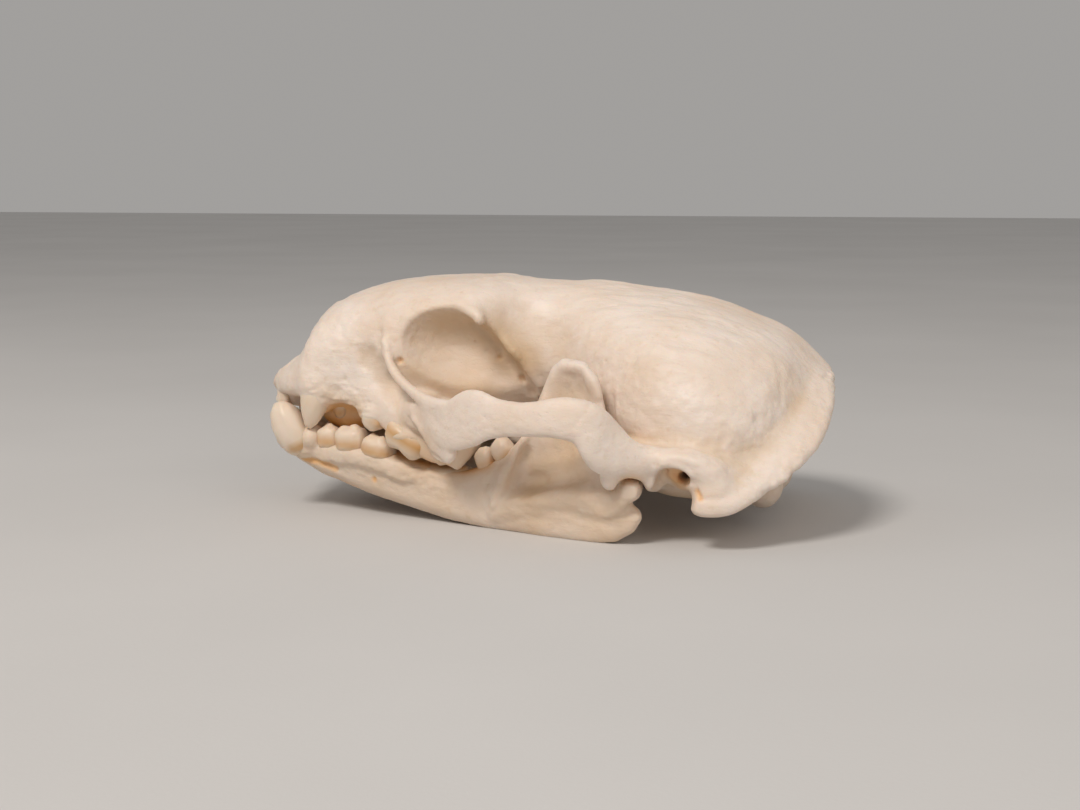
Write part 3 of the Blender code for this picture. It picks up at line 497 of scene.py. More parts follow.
# The lumps of bone on one side, and the hollows that are cut before the thin blades go on, there and in
# the middle: name, centre, radii and, for some, turn and segments.
LUMPS = [
    ("glenoid_shelf", (28.6, 34.5, 18.2), (7.6, 11, 5)),
    ("postglenoid_lip", (33.4, 34, 14.6), (2.4, 8, 3.2)),
    ("preglenoid_lobe", (25, 43.8, 16.6), (2.5, 2.7, 3.6)),
    ("bulla", (36.5, 22.5, 14.2), (13, 9.5, 5.6), (0, 12, -18)),
    ("ear_tube", (40.4, 33, 16), (4.4, 9.2, 3.6)),
    ("mastoid", (47.6, 39, 13.6), (5.4, 5, 5.4)),
    ("mastoid_base", (48, 33, 16), (8, 8, 7)),
    ("paroccipital", (51.5, 27, 11.6), (4, 5.5, 4.6)),
    ("occipital_condyle", (55.2, 11.5, 10.6), (5, 6.6, 6), (24, 0, 0)),
    ("canine_root", (-54, 17.2, 32), (5.6, 4.6, 8), (0, -14, 0)),
    ("incisor_base", (-62.6, 6.6, 27.4), (4.8, 5, 2.8)),
    ("palate_edge", (-47.5, 12, 24.6), (8, 2.6, 4.6)),
]
HOLLOWS = [
    ("orbit", (-14.2, 34.5, 40.4), (20.6, 20.8, 13), (0, 22, 0), 40),
    ("orbit_floor", (-6.4, 31.5, 35.4), (14, 18, 9.6), (0, 22, 0), 40),
    ("tooth_gap", (-47.6, 20.5, 24.4), (5.4, 6, 3.4)),
]
MIDLINE_HOLLOWS = [
    ("nasal_aperture", (-62.6, 0, 44.6), (14.5, 10.6, 11.2), (0, 39, 0), 40),
    ("foramen_magnum", (62, 0, 18.2), (13, 8.4, 5.8), (0, -10, 0), 32),
    ("choana", (7, 0, 17), (16, 6.4, 5.6), (0, -4, 0), 32),
    ("palate", (-34, 0, 18.6), (28, 12.5, 5.2), (0, 8, 0), 32),
]


def pterygoid(side):
    """The thin plate beside the inner opening of the nose, down to its hooked tip."""
    rows = [
        (-9, 10.5, 25, -9, 11, 19, 3, 2.4),
        (0, 9, 24, 0, 9.5, 16.5, 3, 1.8),
        (8, 8.5, 22, 8.5, 9, 13.2, 3, 1.8),
        (13, 9, 20, 14, 9.5, 13, 3, 1.8),
        (18, 10, 19, 18, 10.5, 16.5, 3, 2),
    ]
    return fin("pterygoid", rows, side)


# The room that the jaw's blade takes up beside the braincase, in x and z, and across.
RAMUS_ROOM = [(-6, 8), (0, 24), (6, 40), (10, 44), (18, 44), (23, 38),
              (24, 24), (25, 19.4), (27.4, 16.2), (28, 11)]
RAMUS_INNER = 30.2
RAMUS_OUTER = 40.4

# The jaw joint's axis, from the inner to the outer end of the jaw's condyle on the right side, the
# radii of the condyle and of its socket, and how much further the socket goes on at each end.
JOINT_INNER = (27, 27, 13)
JOINT_OUTER = (29.3, 43.2, 12.8)
CONDYLE_RADIUS = 2.6
SOCKET_RADIUS = 3.4
SOCKET_INWARDS = 2
SOCKET_OUTWARDS = 8


def along_joint(side, y):
    """The point of the jaw joint's axis at a distance y from the middle of the skull."""
    inner, outer = np.array(JOINT_INNER), np.array(JOINT_OUTER)
    point = inner + (outer - inner) * (y - inner[1]) / (outer[1] - inner[1])
    return point * (1, side, 1)


def joint_room(side):
    """The socket of the jaw joint, and the room that the jaw's blade needs in front of it."""
    low, high = JOINT_INNER[1] - SOCKET_INWARDS, JOINT_OUTER[1] + SOCKET_OUTWARDS
    return [
        rod("joint_socket", along_joint(side, low), along_joint(side, high), SOCKET_RADIUS),
        prism("ramus_room", RAMUS_ROOM, side * RAMUS_INNER, side * RAMUS_OUTER),
    ]


# How much further back the crest stands on the left than the mean of both sides, row by row.
CREST_SKEW = (0, 1.2, 1.8, 1.8, 0.6, 0, 0, 0, 0)


def nuchal_crest(side):
    """The blade round the back of the skull, from the middle of the crown to the mastoid."""
    rows = [
        (57, 0, 40, 69.2, 0, 36.6, 13, 3.2),
        (56, 8, 37.5, 69.6, 9, 33.8, 13, 3),
        (55, 15, 33, 69.3, 18.5, 28.6, 13, 3),
        (53, 21, 28, 67, 27.5, 22.4, 13, 3),
        (50, 26, 23, 63, 34, 17.2, 13, 3),
        (47, 30, 19, 57.4, 39.2, 12.8, 13, 3.2),
        (45, 32, 18, 51.6, 42.8, 9.8, 12, 3.8),
        (44, 33.5, 17.5, 45.6, 43.6, 9.4, 10, 4.2),
        (43.5, 34, 17, 43.6, 43.2, 10.6, 10, 4.2),
    ]
    rows = [(*row[:3], row[3] - side * skew, *row[4:]) for row, skew in zip(rows, CREST_SKEW)]
    return fin("nuchal_crest", rows, side)


# Strokes that finish the cranium's surface, for the right side: path, radius, height and, for some,
# facing. Most of those face straight out.
OUT = (0, 1, 0)
TEMPORAL_LINE = [(-11, 22, 50.2), (-14.5, 18.5, 54.2), (-16.5, 12, 57), (-10, 6, 58.2)]
MIDLINE_RIDGE = [(12, 2, 57), (28, 1.5, 55.6), (46, 1, 51.6),
                 (58, 0.5, 46.8), (66, 0, 41)]
VALLEY = [(-40, 22.5, 39.5), (-36, 23.5, 35.6), (-32, 24, 31.5), (-28, 26, 27.6),
          (-24.5, 27.5, 24.6)]
ORBIT_REAR = [(-11.5, 20.8, 48.6), (-8, 19, 45.2), (-4.4, 17.4, 41.4), (-1.6, 16.8, 37.4),
              (1.2, 16.2, 32.4), (1.8, 16, 27)]
CRANIUM_STROKES = [
    (TEMPORAL_LINE, 2.2, 0.3),
    (MIDLINE_RIDGE, 5, 0.25),
    (VALLEY, 4.6, -1.5, OUT),
    (ORBIT_REAR, 2.6, 1.5),
    ([(-3, 18, 49), (5, 18, 45)], 9, -1.4),
    ([(62, 12, 38), (60, 22, 31), (55, 32, 23), (51, 36, 19)], 6.5, -0.9, (0.4, 0.7, 0.6)),
    ([(46, 39, 24), (37, 38, 26)], 7, -0.8, (0, 1, 0.3)),
    ([(39, 40, 11.6), (36, 38, 13)], 4.5, -1.6),
]

# Where one part of the cranium runs into the next with no crease: path and radius.
SOFT_PLACES = [
    ([(30, 24, 13), (46, 26, 11), (54, 18, 12)], 13),
    ([(46, 35, 20), (54, 32, 16)], 11),
    ([(20, 0, 16), (46, 0, 12)], 16),
    ([(34, 38, 23), (42, 39, 24), (50, 38, 22)], 9),
    ([(-50, 20, 34), (-40, 22, 37)], 11),
    ([(60, 10, 42), (57, 24, 34), (50, 34, 26)], 11),
    ([(66, 3, 39), (64, 16, 34), (60, 26, 27), (54, 35, 20)], 6),
    ([(0, 10, 20), (12, 10, 19)], 6),
    ([(-26, 12, 57), (-14, 19, 54)], 7),
    ([(-16, 15.5, 35), (-3, 15.5, 33)], 10),
]


# How many sides a tooth has, how wide its cusps are and from where it tapers, as parts of half its size,
# how deep its root sits and how thick the bone round it is.
TOOTH_SIDES = 40
CUSP_SPREAD = 0.12
TAPER_START = -0.3
ROOT_DEPTH = 2.6
SOCKET_WALL = 0.5


def tooth(name, side, centre, size, squareness=2.6, cusps=(), turn=(0, 0, 0), taper=0.0):
    """One tooth with its root: a rounded block of the given length, breadth and height.

    Each cusp: where it stands on the crown, from -1 to 1 along and across, and how far it rises.
    A crown that faces down has a height below 0. Taper is how much narrower it grows towards its tip.
    """
    bm = bmesh.new()
    bmesh.ops.create_uvsphere(bm, u_segments=TOOTH_SIDES, v_segments=TOOTH_SIDES // 2 + 1, radius=1)
    for v in bm.verts:
        x, y, z = [power(c, 2 / squareness) for c in v.co]
        rise = sum(h * math.exp(-((x - u) ** 2 + (y - w) ** 2) / CUSP_SPREAD) for u, w, h in cusps)
        lift = rise * max(z, 0)
        slim = 1 - taper * max(z - TAPER_START, 0) / (1 - TAPER_START)
        v.co = (x * slim * size[0] / 2, side * y * slim * size[1] / 2,
                z * size[2] / 2 + math.copysign(lift, size[2]))
    turned(bm, turn, side)
    bmesh.ops.scale(bm, vec=(MM, MM, MM), verts=bm.verts)
    return placed(name, bm, centre, side)


# Each tooth: name, middle, (length, breadth, height with its root), squareness, cusps, turn, taper.
# Height is below 0 for an upper tooth, whose crown faces down.
UPPER_GRINDER = ((-0.5, 0.75, 1.7), (0.5, 0.75, 1.7), (-0.4, -0.5, 0.3), (0.5, -0.5, 0.3))
LOWER_GRINDER = ((-0.6, -0.4, 0.3), (0.1, -0.5, 0.3), (0.9, 0.1, 1.2), (-0.2, 0.4, 0.2))
UPPER_TEETH = [
    ("I1", (-68.4, 1.9, 28.2), (3.2, 3.4, -8.8), 3.4, (), (0, 8, 0)),
    ("I2", (-67.8, 5.6, 28.2), (3.2, 3.6, -8.8), 3.2, (), (0, 10, 0)),
    ("I3", (-65.6, 10.2, 28.2), (3.6, 4.2, -8.6), 3, (), (0, 4, 0)),
    ("C", (-54.8, 18.2, 27.4), (8, 7, -13.8), 2.1, (), (4, 12, 0), 0.45),
    ("P2", (-49.6, 13.6, 26.6), (4, 3.8, -7.6), 2.4, (), (0, 0, 0)),
    ("P3", (-38, 21.2, 24.8), (6.4, 5.6, -6.6), 2.6, ((0, 0.3, 0.4),), (0, 8, 0)),
    ("P4", (-27.8, 22.2, 20.6), (12.8, 11.6, -6), 3.2, UPPER_GRINDER, (-9, 28, 14)),
    ("M1", (-16.8, 22.6, 19.4), (9.8, 14.6, -6.4), 3.2, UPPER_GRINDER, (-21, 8, 8)),
]
LOWER_TEETH = [
    ("i2", (-65.4, 2.4, 20.6), (2.4, 2.6, 6.8), 2.4, (), (0, -20, 0)),
    ("i3", (-65.2, 5.8, 20.8), (2.8, 3, 6.8), 2.4, (), (0, -20, 0)),
    ("c", (-62, 16.2, 20.4), (8.8, 8.6, 14.4), 2.3, (), (-6, -26, 0), 0.15),
    ("p2", (-51.6, 16.8, 18.5), (5.8, 5.2, 5.8), 2.8, ((0, 0, 0.7),), (0, -6, 6)),
    ("p3", (-45, 18.6, 18.4), (8, 6.6, 6.2), 3, ((-0.5, 0.2, 0.7), (0.4, 0.2, 0.9)), (0, -4, 10)),
    ("p4", (-37.3, 20.5, 17), (8, 7.4, 5.6), 3, ((0.4, 0.4, 0.7), (-0.4, 0.3, 0.9)), (0, 8, 14)),
    ("m1", (-21, 20.6, 10.9), (16, 8.6, 5.4), 3.2, LOWER_GRINDER, (-6, 1, 14)),
    ("m1 heel", (-8.9, 24.2, 15.7), (5, 5.6, 6.2), 2.8, ((-0.3, 0.3, 0.3), (0.5, 0.3, 0.4)),
     (-6, -14, 18)),
    ("m2", (-4.3, 26.2, 18.3), (5.4, 5.2, 6.2), 2.6, ((0, 0, 0.4),), (-6, -24, 20)),
]


def sockets(side):
    """The swelling of the upper jaw round each tooth's root."""
    made = []
    for row in UPPER_TEETH:
        (x, y, z), (length, breadth, height) = row[1:3]
        centre = (x, y, z - height / 2 - ROOT_DEPTH)
        radii = (length / 2 + SOCKET_WALL, breadth / 2 + SOCKET_WALL, ROOT_DEPTH)
        made.append(ellipsoid("socket", centre, radii, segments=16, side=side))
    return made


# The saw-thin gap between bones that meet, and half of it on each side of the joint.
GAP = 0.3
HALF_GAP = GAP / 2


def sliced(obj, point, normal):
    """Cuts away what lies beyond a plane, on the side that the normal points to, and caps the cut."""
    bm = bmesh.new()
    bm.from_mesh(obj.data)
    halved = bmesh.ops.bisect_plane(bm, geom=bm.verts[:] + bm.edges[:] + bm.faces[:],
                                    plane_co=Vector(point) * MM, plane_no=normal, clear_outer=True)
    rim = [e for e in halved["geom_cut"] if isinstance(e, bmesh.types.BMEdge)]
    bmesh.ops.holes_fill(bm, edges=rim)
    bmesh.ops.triangulate(bm, faces=bm.faces)
    bm.to_mesh(obj.data)
    bm.free()


def snapped(points, path, side, facing=()):
    """The path, mirrored for its side, with each of its points moved to the surface.

    The move is sideways, or up and down for a mark whose facing points down.
    """
    loose = (1, 1, 0.15) if facing and facing[0][2] < 0 else (1, 0.15, 1)
    found = []
    for place in mirrored(path, side):
        reach = (points - place) * loose
        found.append(tuple(points[(reach ** 2).sum(axis=1).argmin()]))
    return found


def carved(obj, strokes, sides):
    """Fine strokes, each laid on the surface before it raises or presses it."""
    for path, radius, height, *facing in strokes:
        for side in sides:
            on = snapped(points_of(obj), path, side, facing)
            sculpted(obj, [(on, radius, height, *mirrored(facing, side))])


# The noise that roughens a surface: its falloff, gain and octaves, the least move worth making in
# millimetres, and how far apart the two sides' patterns lie.
ROUGH_NOISE = (0.9, 2.0, 3)
LEAST_MOVE = 0.005
PATTERN_SHIFT = 7.3


def rumpled(obj, patches, sides=(1,)):
    """Makes patches uneven. Each patch: its path, radius, height and the size of its lumps."""
    points = points_of(obj)
    normals = normals_of(obj)
    for path, radius, height, lump in patches:
        for side in sides:
            amount = nearness(points, mirrored(path, side), radius) * height
            for i in np.flatnonzero(np.abs(amount) > LEAST_MOVE):
                at = Vector(points[i] / lump) + Vector((0, PATTERN_SHIFT * side, 0))
                points[i] += normals[i] * amount[i] * noise.fractal(at, *ROUGH_NOISE)
    move_points(obj, points)


# Marks of a smaller radius are laid on the surface. Hollows get painted shade in tan too, most strongly
# where the bone lies FULL_HOLLOW millimetres below its own shape after so many rounds of smoothing.
SMALL_MARK = 3
HOLLOW_SHADE = 0.35
HOLLOW_ROUNDS = round(24 * FINER)
FULL_HOLLOW = 0.45


def hollows(obj):
    """How hollow each place is, from 0 to 1, for painted shade: how deep it lies below its own smoothed
    shape.
    """
    points = points_of(obj)
    ends = np.empty(len(obj.data.edges) * 2, int)
    obj.data.edges.foreach_get("vertices", ends)
    a, b = ends.reshape(-1, 2).T
    count = np.bincount(ends, minlength=len(points))[:, None]
    soft = points
    for _ in range(HOLLOW_ROUNDS):
        spread = np.empty_like(soft)
        for axis in range(3):
            spread[:, axis] = (np.bincount(a, soft[b, axis], len(points))
                               + np.bincount(b, soft[a, axis], len(points)))
        soft = spread / count
    depth = ((soft - points) * normals_of(obj)).sum(axis=1)
    return np.clip(depth / FULL_HOLLOW, 0, 1)


def painted(obj, name, marks, sides=(1,)):
    """Stores how strongly each point of the surface is marked. Each mark: path, radius, strength."""
    points = points_of(obj)
    amount = np.zeros(len(points))
    for path, radius, strength in marks:
        for side in sides:
            place = snapped(points, path, side) if radius < SMALL_MARK else mirrored(path, side)
            amount = np.maximum(amount, nearness(points, place, radius) * strength)
    # Tan also paints shade into every hollow.
    if name == "tan":
        amount = np.maximum(amount, HOLLOW_SHADE * hollows(obj))
    obj.data.attributes.new(name, "FLOAT", "POINT")
    obj.data.attributes[name].data.foreach_set("value", amount.astype(np.float32))


# The ear's canal and its wider mouth, each a middle and radii, and the raised lip round the mouth.
EAR = (40.7, 41, 16)
EAR_RADII = (1.8, 7, 1.4)
EAR_MOUTH = (38.9, 42.2, 16)
EAR_MOUTH_RADII = (4.2, 4.6, 2.9)
EAR_LIP = [(EAR_MOUTH[0] + 4.7 * math.cos(a), 42, EAR_MOUTH[2] + 3.4 * math.sin(a))
           for a in np.linspace(0, 2 * math.pi, 17)]

# Finer work on the skull bone, in the columns of CRANIUM_STROKES.
EAR_SLIT = [(44.4, 42, 13.6), (45.2, 42.6, 12.2)]
PLATE_EDGE = [(-24.8, 29, 26.1), (-22.7, 31, 24.5), (-19.4, 33, 20.9), (-15.8, 35, 18.3),
              (-13.9, 36, 16.4)]
NOSE_RIM = [(-60, 10.8, 39.6), (-58, 10.9, 42.6), (-56, 10.4, 45.6), (-54.2, 8.8, 48.8),
            (-53, 5.6, 50.8)]
FINE_STROKES = [
    (EAR_LIP, 1.4, 0.8, OUT),
    ([(37, 41.5, 20.4), (40.5, 42, 21), (44, 42.5, 20.2)], 1.6, 0.5, OUT),
    (NOSE_RIM, 1.6, 0.35),
    (ORBIT_REAR, 1.5, 0.6),
    ([(x - 2.4, y, z - 1.6) for x, y, z in ORBIT_REAR[:5]], 2, -0.6),
    (PLATE_EDGE, 1.3, 0.6, OUT),
    ([(x - 1.9, y, z - 1) for x, y, z in PLATE_EDGE], 1.7, -0.9, OUT),
    ([(-57.6, 10.4, 40.4), (-60.7, 10, 38), (-64.8, 8.6, 35.2), (-67.6, 6, 33.2)], 1.5, 0.45),
    ([(-36.2, 21.4, 45.4), (-36.6, 22.6, 42.6)], 1.5, -0.5),
    ([(-34.6, 22.6, 43.4), (-34, 23.6, 42)], 1.5, 0.5),
    ([(16.1, 49, 25.3), (18.6, 49.6, 28.7), (21.5, 49.2, 33)], 0.9, -0.22),
    (EAR_SLIT, 0.9, -0.5),
    ([(69.4, 19, 36.2), (70.2, 20, 37.8)], 1.1, -0.35),
    ([(66, 29, 19.4), (65.2, 31, 18.6)], 1.6, -0.5),
    ([(-14.1, 37, 17.5), (-12.5, 38.4, 22.5), (-9, 41, 26.5)], 2.6, 0.35, OUT),
    ([(-17, 36, 27), (-11, 39, 28.6)], 4, -0.5, OUT),
]
PITS = [
    ([(-31, 20, 38.8)], 1.2, -0.9),
    ([(-11.7, 17, 40.7)], 0.9, -0.6),
    ([(-8.4, 17, 39.2)], 1.1, -0.9),
    ([(-3.3, 16, 34.4), (-2.9, 16, 33.6)], 1.1, -0.9),
    ([(1.6, 15.6, 29)], 1.4, -1.2),
    ([(-45.5, 20.6, 33.6)], 0.7, -0.35),
    ([(-49.5, 20.6, 38.6)], 0.6, -0.3),
    ([(20, 27.5, 40.5)], 0.6, -0.3),
    ([(33, 33, 40.5)], 0.6, -0.3),
    ([(48, 33.5, 34)], 0.7, -0.3),
    ([(31, 22, 13.6)], 1.3, -1.1),
    ([(47, 14, 11.5)], 1.6, -1.3),
    ([(22, 15, 17)], 1.4, -1.2),
    ([(-57, 3.2, 26.6), (-53.5, 3.4, 25.4)], 1.5, -1.5),
    ([(-24, 8, 24.5)], 0.9, -0.8),
    ([(-20, 9, 24)], 0.7, -0.6),
]
# Rough and lumpy places: path, radius, height, and the size of the lumps, in all or along each axis.
ROUGH_PLACES = [
    ([(-53, 20, 31), (-47, 20.5, 29.4), (-41, 22, 27.6)], 6, 0.55, (2.6, 2, 0.8)),
    ([(-66, 8, 32), (-60, 15, 30)], 6, 0.3, 1.6),
    ([(69.6, 6, 36), (69.2, 18.5, 29), (66.6, 27.5, 22.6), (62.6, 34, 17.4), (57, 39, 13)],
     3.4, 0.9, 3.2),
    ([(-70.4, 4, 31), (-66, 10, 30.6)], 4.5, 0.5, 1.5),
    ([(58, 22, 36), (55, 30, 28), (48, 37, 20)], 12, 0.5, 4.2),
    ([(20, 14, 52), (40, 20, 46)], 30, 0.4, (9, 3.4, 3.4)),
    ([(20, 26, 38), (44, 36, 28)], 24, 0.25, 2.4),
    ([(-56, 16, 40), (-30, 20, 46)], 18, 0.2, 2),
    ([(-50, 10, 46), (-10, 10, 52)], 24, 0.22, 5),
    ([(36, 10, 12), (50, 20, 11)], 16, 0.4, 3.2),
    ([(62, 10, 26), (58, 20, 20)], 12, 0.5, 3.4),
    ([(-22, 30, 26), (-12, 39, 26), (6, 48, 29), (22, 48, 28)], 7, 0.25, (3.4, 2, 1.6)),
    ([(-40, 6, 24), (-20, 8, 23)], 10, 0.35, 2),
]
# Where the bone is tan, orange or dark: path, radius, strength.
# Tan here is mostly painted shade: in the eye sockets, the fossae, the openings and under the skull.
TAN_AND_SHADE_PLACES = [
    ([(-20, 20, 45), (-10, 18, 44), (-4, 17, 39)], 12, 0.8),
    ([(-27, 23, 36), (-17, 21, 32), (-6, 18, 30)], 8, 0.65),
    ([(-30, 29, 20), (-20, 33, 19)], 8, 0.4),
    ([(0, 17, 47), (6, 19, 43)], 8, 0.35),
    ([(4, 19, 28), (16, 27, 24)], 13, 0.5),
    ([(34, 24, 10), (46, 24, 9)], 12, 0.6),
    ([(37, 38, 13), (43, 38, 12)], 6, 0.5),
    ([(-38, 23, 38), (-32, 24, 31.5)], 5, 0.3),
    ([(-50, 0, 25), (-20, 0, 23), (0, 0, 19)], 17, 0.5),
    ([(-62, 0, 41), (-52, 0, 40)], 11, 0.65),
    ([(-70.4, 4, 31), (-68, 8, 30)], 4.5, 0.5),
    ([EAR_MOUTH], 4.6, 0.8),
    ([(60, 0, 18)], 10, 0.5),
    ([(52, 16, 11), (60, 12, 14)], 8, 0.35),
    ([(24, 34, 17), (29, 44, 15)], 5, 0.5),
    ([(-52, 20, 30), (-42, 22, 28)], 4.5, 0.3),
]
# Orange along the upper tooth row, on the palate's edge and down the palate stands in for light that
# shines through the thin bone of the mouth: painted glow. The other orange places are stains.
ORANGE_PLACES = [
    ([(-54, 15, 25.5), (-44, 17.5, 25), (-34, 20, 21.5), (-22, 24, 16)], 6, 0.75),
    ([(EAR_MOUTH[0], 38, EAR_MOUTH[2]), (EAR_MOUTH[0], 41, EAR_MOUTH[2])], 4.4, 0.75),
    ([(-53, 12.6, 22), (-42, 13, 22)], 5, 0.95),
    ([(-58, 0, 25), (-40, 0, 24)], 14, 0.7),
    ([(26.5, 34, 15.6), (29.5, 43, 15.4)], 3.6, 0.45),
    ([(-70.4, 0, 30)], 3, 0.3),
    ([(-31, 20, 38.8)], 1.5, 0.55),
    ([(-8.4, 17, 39.2)], 1.6, 0.3),
    ([(-3.3, 16, 34.4)], 1.6, 0.35),
    (EAR_SLIT, 1.3, 0.6),
]
# Dark brown is painted shade deep in the ear's canal, the canal below the eye, the nose and other holes.
HOLE_SHADE_PLACES = [
    ([(EAR[0], 37.6, EAR[2]), (EAR[0], 33, EAR[2])], 2.6, 1),
    ([(1.6, 15.6, 29)], 1.6, 0.6),
    ([(-26, 26, 32), (-34, 26, 35)], 2.6, 0.35),
    ([(-52, 0, 36), (-58, 0, 37)], 5, 0.5),
    ([(55, 0, 18)], 7, 0.4),
]

pieces = [hull("core", CORE, 90), hull("maxilla", MAXILLA, 40)]
for side in BOTH:
    pieces += bars(side, "zygomatic_root", "tooth_margin", "ear_roof")
    pieces.append(pterygoid(side))
    pieces += [ellipsoid(*lump, side=side) for lump in LUMPS]
skull_bone = fused("skull_bone", pieces)
cutters = [ellipsoid(*hollow) for hollow in MIDLINE_HOLLOWS]
for side in BOTH:
    cutters += [ellipsoid(*hollow, side=side) for hollow in HOLLOWS]
    cutters += bars(side, "infraorbital_canal")
cut(skull_bone, cutters)
blades = [skull_bone]
for side in BOTH:
    blades += bars(side, "cheek_arch", "orbit_strut")
    blades.append(nuchal_crest(side))
    blades += bars(side, "brow") + sockets(side)
skull_bone = fused("skull_bone", blades)
smoothed(skull_bone, round(3 * FINER))
softened(skull_bone, SOFT_PLACES, round(30 * FINER))
sculpted(skull_bone, CRANIUM_STROKES, BOTH)
cutters = []
for side in BOTH:
    cutters += joint_room(side)
    cutters.append(ellipsoid("ear_opening", EAR, EAR_RADII, side=side))
    cutters.append(ellipsoid("ear_mouth", EAR_MOUTH, EAR_MOUTH_RADII, side=side))
cut(skull_bone, cutters)
largest_only(skull_bone)
melted(skull_bone)
smoothed(skull_bone, round(2 * FINER))
carved(skull_bone, FINE_STROKES + PITS, BOTH)
rumpled(skull_bone, ROUGH_PLACES, BOTH)
smoothed(skull_bone, 1)
thinned(skull_bone, BONE_TRIANGLES)


def wired(tree, node, **inputs):
    """Feeds a node's inputs, which go by name, with _ for a space, or by number as i0, i1 and so on."""
    for key, value in inputs.items():
        key = int(key[1:]) if key[0] == "i" and key[1:].isdigit() else key.replace("_", " ")
        if isinstance(value, bpy.types.NodeSocket):
            tree.links.new(value, node.inputs[key])
        else:
            node.inputs[key].default_value = value
    return node


def add(tree, kind, settings=(), **inputs):
    made = tree.nodes.new("ShaderNode" + kind)
    for key, value in dict(settings).items():
        setattr(made, key, value)
    return wired(tree, made, **inputs)


def mixed(tree, amount, a, b):
    """A colour that goes from a to b as amount goes from 0 to 1."""
    return add(tree, "Mix", {"data_type": "RGBA"}, i0=amount, i6=a, i7=b).outputs[2]


def ranged(tree, value, low, high, out_low=0.0, out_high=1.0):
    return add(tree, "MapRange", Value=value, From_Min=low, From_Max=high,
               To_Min=out_low, To_Max=out_high).outputs[0]


def product(tree, a, b):
    return add(tree, "Math", {"operation": "MULTIPLY"}, i0=a, i1=b).outputs[0]


def total(tree, a, b, factor=1.0):
    """a plus factor times b."""
    return add(tree, "Math", {"operation": "MULTIPLY_ADD"}, i0=b, i1=factor, i2=a).outputs[0]


# The marks that bare bone carries: soft mottling, small freckles, and the relief of grain and pores.
bone_marks = bpy.data.node_groups.new("bone_marks", "ShaderNodeTree")
bone_marks.interface.new_socket("Place", in_out="INPUT", socket_type="NodeSocketVector")
for name in ("Mottle", "Freckle", "Streak", "Relief"):
    bone_marks.interface.new_socket(name, in_out="OUTPUT", socket_type="NodeSocketFloat")
place = bone_marks.nodes.new("NodeGroupInput").outputs["Place"]
broad = add(bone_marks, "TexNoise", Vector=place, Scale=55.0, Detail=5.0, Roughness=0.55)
small = add(bone_marks, "TexNoise", Vector=place, Scale=420.0, Detail=3.0, Roughness=0.6)
along = add(bone_marks, "Mapping", Vector=place, Scale=(0.22, 1.0, 0.7)).outputs[0]
grain = add(bone_marks, "TexNoise", Vector=along, Scale=520.0, Detail=5.0, Roughness=0.6,
            Distortion=0.4)
pores = add(bone_marks, "TexVoronoi", Vector=place, Scale=900.0)
pits = ranged(bone_marks, pores.outputs["Distance"], 0.0, 0.25)
relief = total(bone_marks, grain.outputs[0], pits, 0.18)
wired(bone_marks, bone_marks.nodes.new("NodeGroupOutput"), Mottle=broad.outputs[0],
      Freckle=ranged(bone_marks, small.outputs[0], 0.58, 0.74),
      Streak=ranged(bone_marks, grain.outputs[0], 0.35, 0.7),
      Relief=total(bone_marks, relief, broad.outputs[0], 1.4))


def new_look(name):
    """A new material, its node tree, its shader and the object's own coordinates."""
    look = bpy.data.materials.new(name)
    look.use_nodes = True
    tree = look.node_tree
    return look, tree, tree.nodes["Principled BSDF"], add(tree, "TexCoord").outputs["Object"]


def mottled(name, shades, specks, stains_and_shade, swing, rough, relief, glow):
    """A material of two shades in soft mottling, with specks, and painted stains and shade on top.

    Specks: mark, strength, colour. Stains and shade: attribute, colour. Swing: how far mottling varies
    them.
    Rough: mark, its range, the roughness. Relief: strength, depth. Glow: weight, radius, scale.
    """
    look, tree, shader, here = new_look(name)
    marks = add(tree, "Group", {"node_tree": bone_marks}, Place=here).outputs
    colour = mixed(tree, ranged(tree, marks["Mottle"], 0.35, 0.7), *shades)
    for mark, strength, tint in specks:
        colour = mixed(tree, product(tree, marks[mark], strength), colour, tint)
    uneven = ranged(tree, marks["Mottle"], 0.3, 0.7, 1 - swing, 1 + swing)
    for kind, tint in stains_and_shade:
        stain_and_shade = add(tree, "Attribute", {"attribute_name": kind}).outputs["Fac"]
        colour = mixed(tree, product(tree, stain_and_shade, uneven), colour, tint)
    bump = add(tree, "Bump", Height=marks["Relief"], Strength=relief[0], Distance=relief[1])
    wired(tree, shader, Base_Color=colour, Roughness=ranged(tree, marks[rough[0]], *rough[1:]),
          Normal=bump.outputs[0], Subsurface_Weight=glow[0], Subsurface_Radius=glow[1],
          Subsurface_Scale=glow[2])
    return look


CREAM = (0.87, 0.765, 0.685, 1)
WARM_CREAM = (0.79, 0.64, 0.52, 1)
# Tan serves for the bone's grain and for painted shade, orange for stains and for a painted glow in the
# mouth, and the darkest brown for painted shade deep in holes.
TAN = (0.60, 0.41, 0.22, 1)
ORANGE = (0.78, 0.40, 0.11, 1)
HOLE_SHADE = (0.09, 0.04, 0.018, 1)


# Bare bone, with tan and dark brown as painted shade and orange as stain and, in the mouth, as painted
# glow.
def bone_look(name):
    return mottled(name, (CREAM, WARM_CREAM), (("Streak", 0.12, TAN), ("Freckle", 0.22, TAN)),
                   (("tan", TAN), ("orange", ORANGE), ("hole_shade", HOLE_SHADE)), 0.25,
                   ("Mottle", 0.3, 0.7, 0.46, 0.6), (0.7, 0.0004), (0.15, (1.0, 0.45, 0.22), 0.002))


def dressed(obj, look):
    obj.data.materials.clear()
    obj.data.materials.append(look)
    obj.data.polygons.foreach_set("use_smooth", [True] * len(obj.data.polygons))
    obj.data.update()


dressed(skull_bone, bone_look("skull_bone"))
# Tan and brown paint shade into the skull's hollows, openings and undersides; orange is stain, and in the
# mouth a painted glow.
for kind, marks in (("tan", TAN_AND_SHADE_PLACES), ("orange", ORANGE_PLACES), ("hole_shade", HOLE_SHADE_PLACES)):
    painted(skull_bone, kind, marks, BOTH)
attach(skull_bone, "root")
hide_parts("cranium", "jugal_left", "jugal_right")

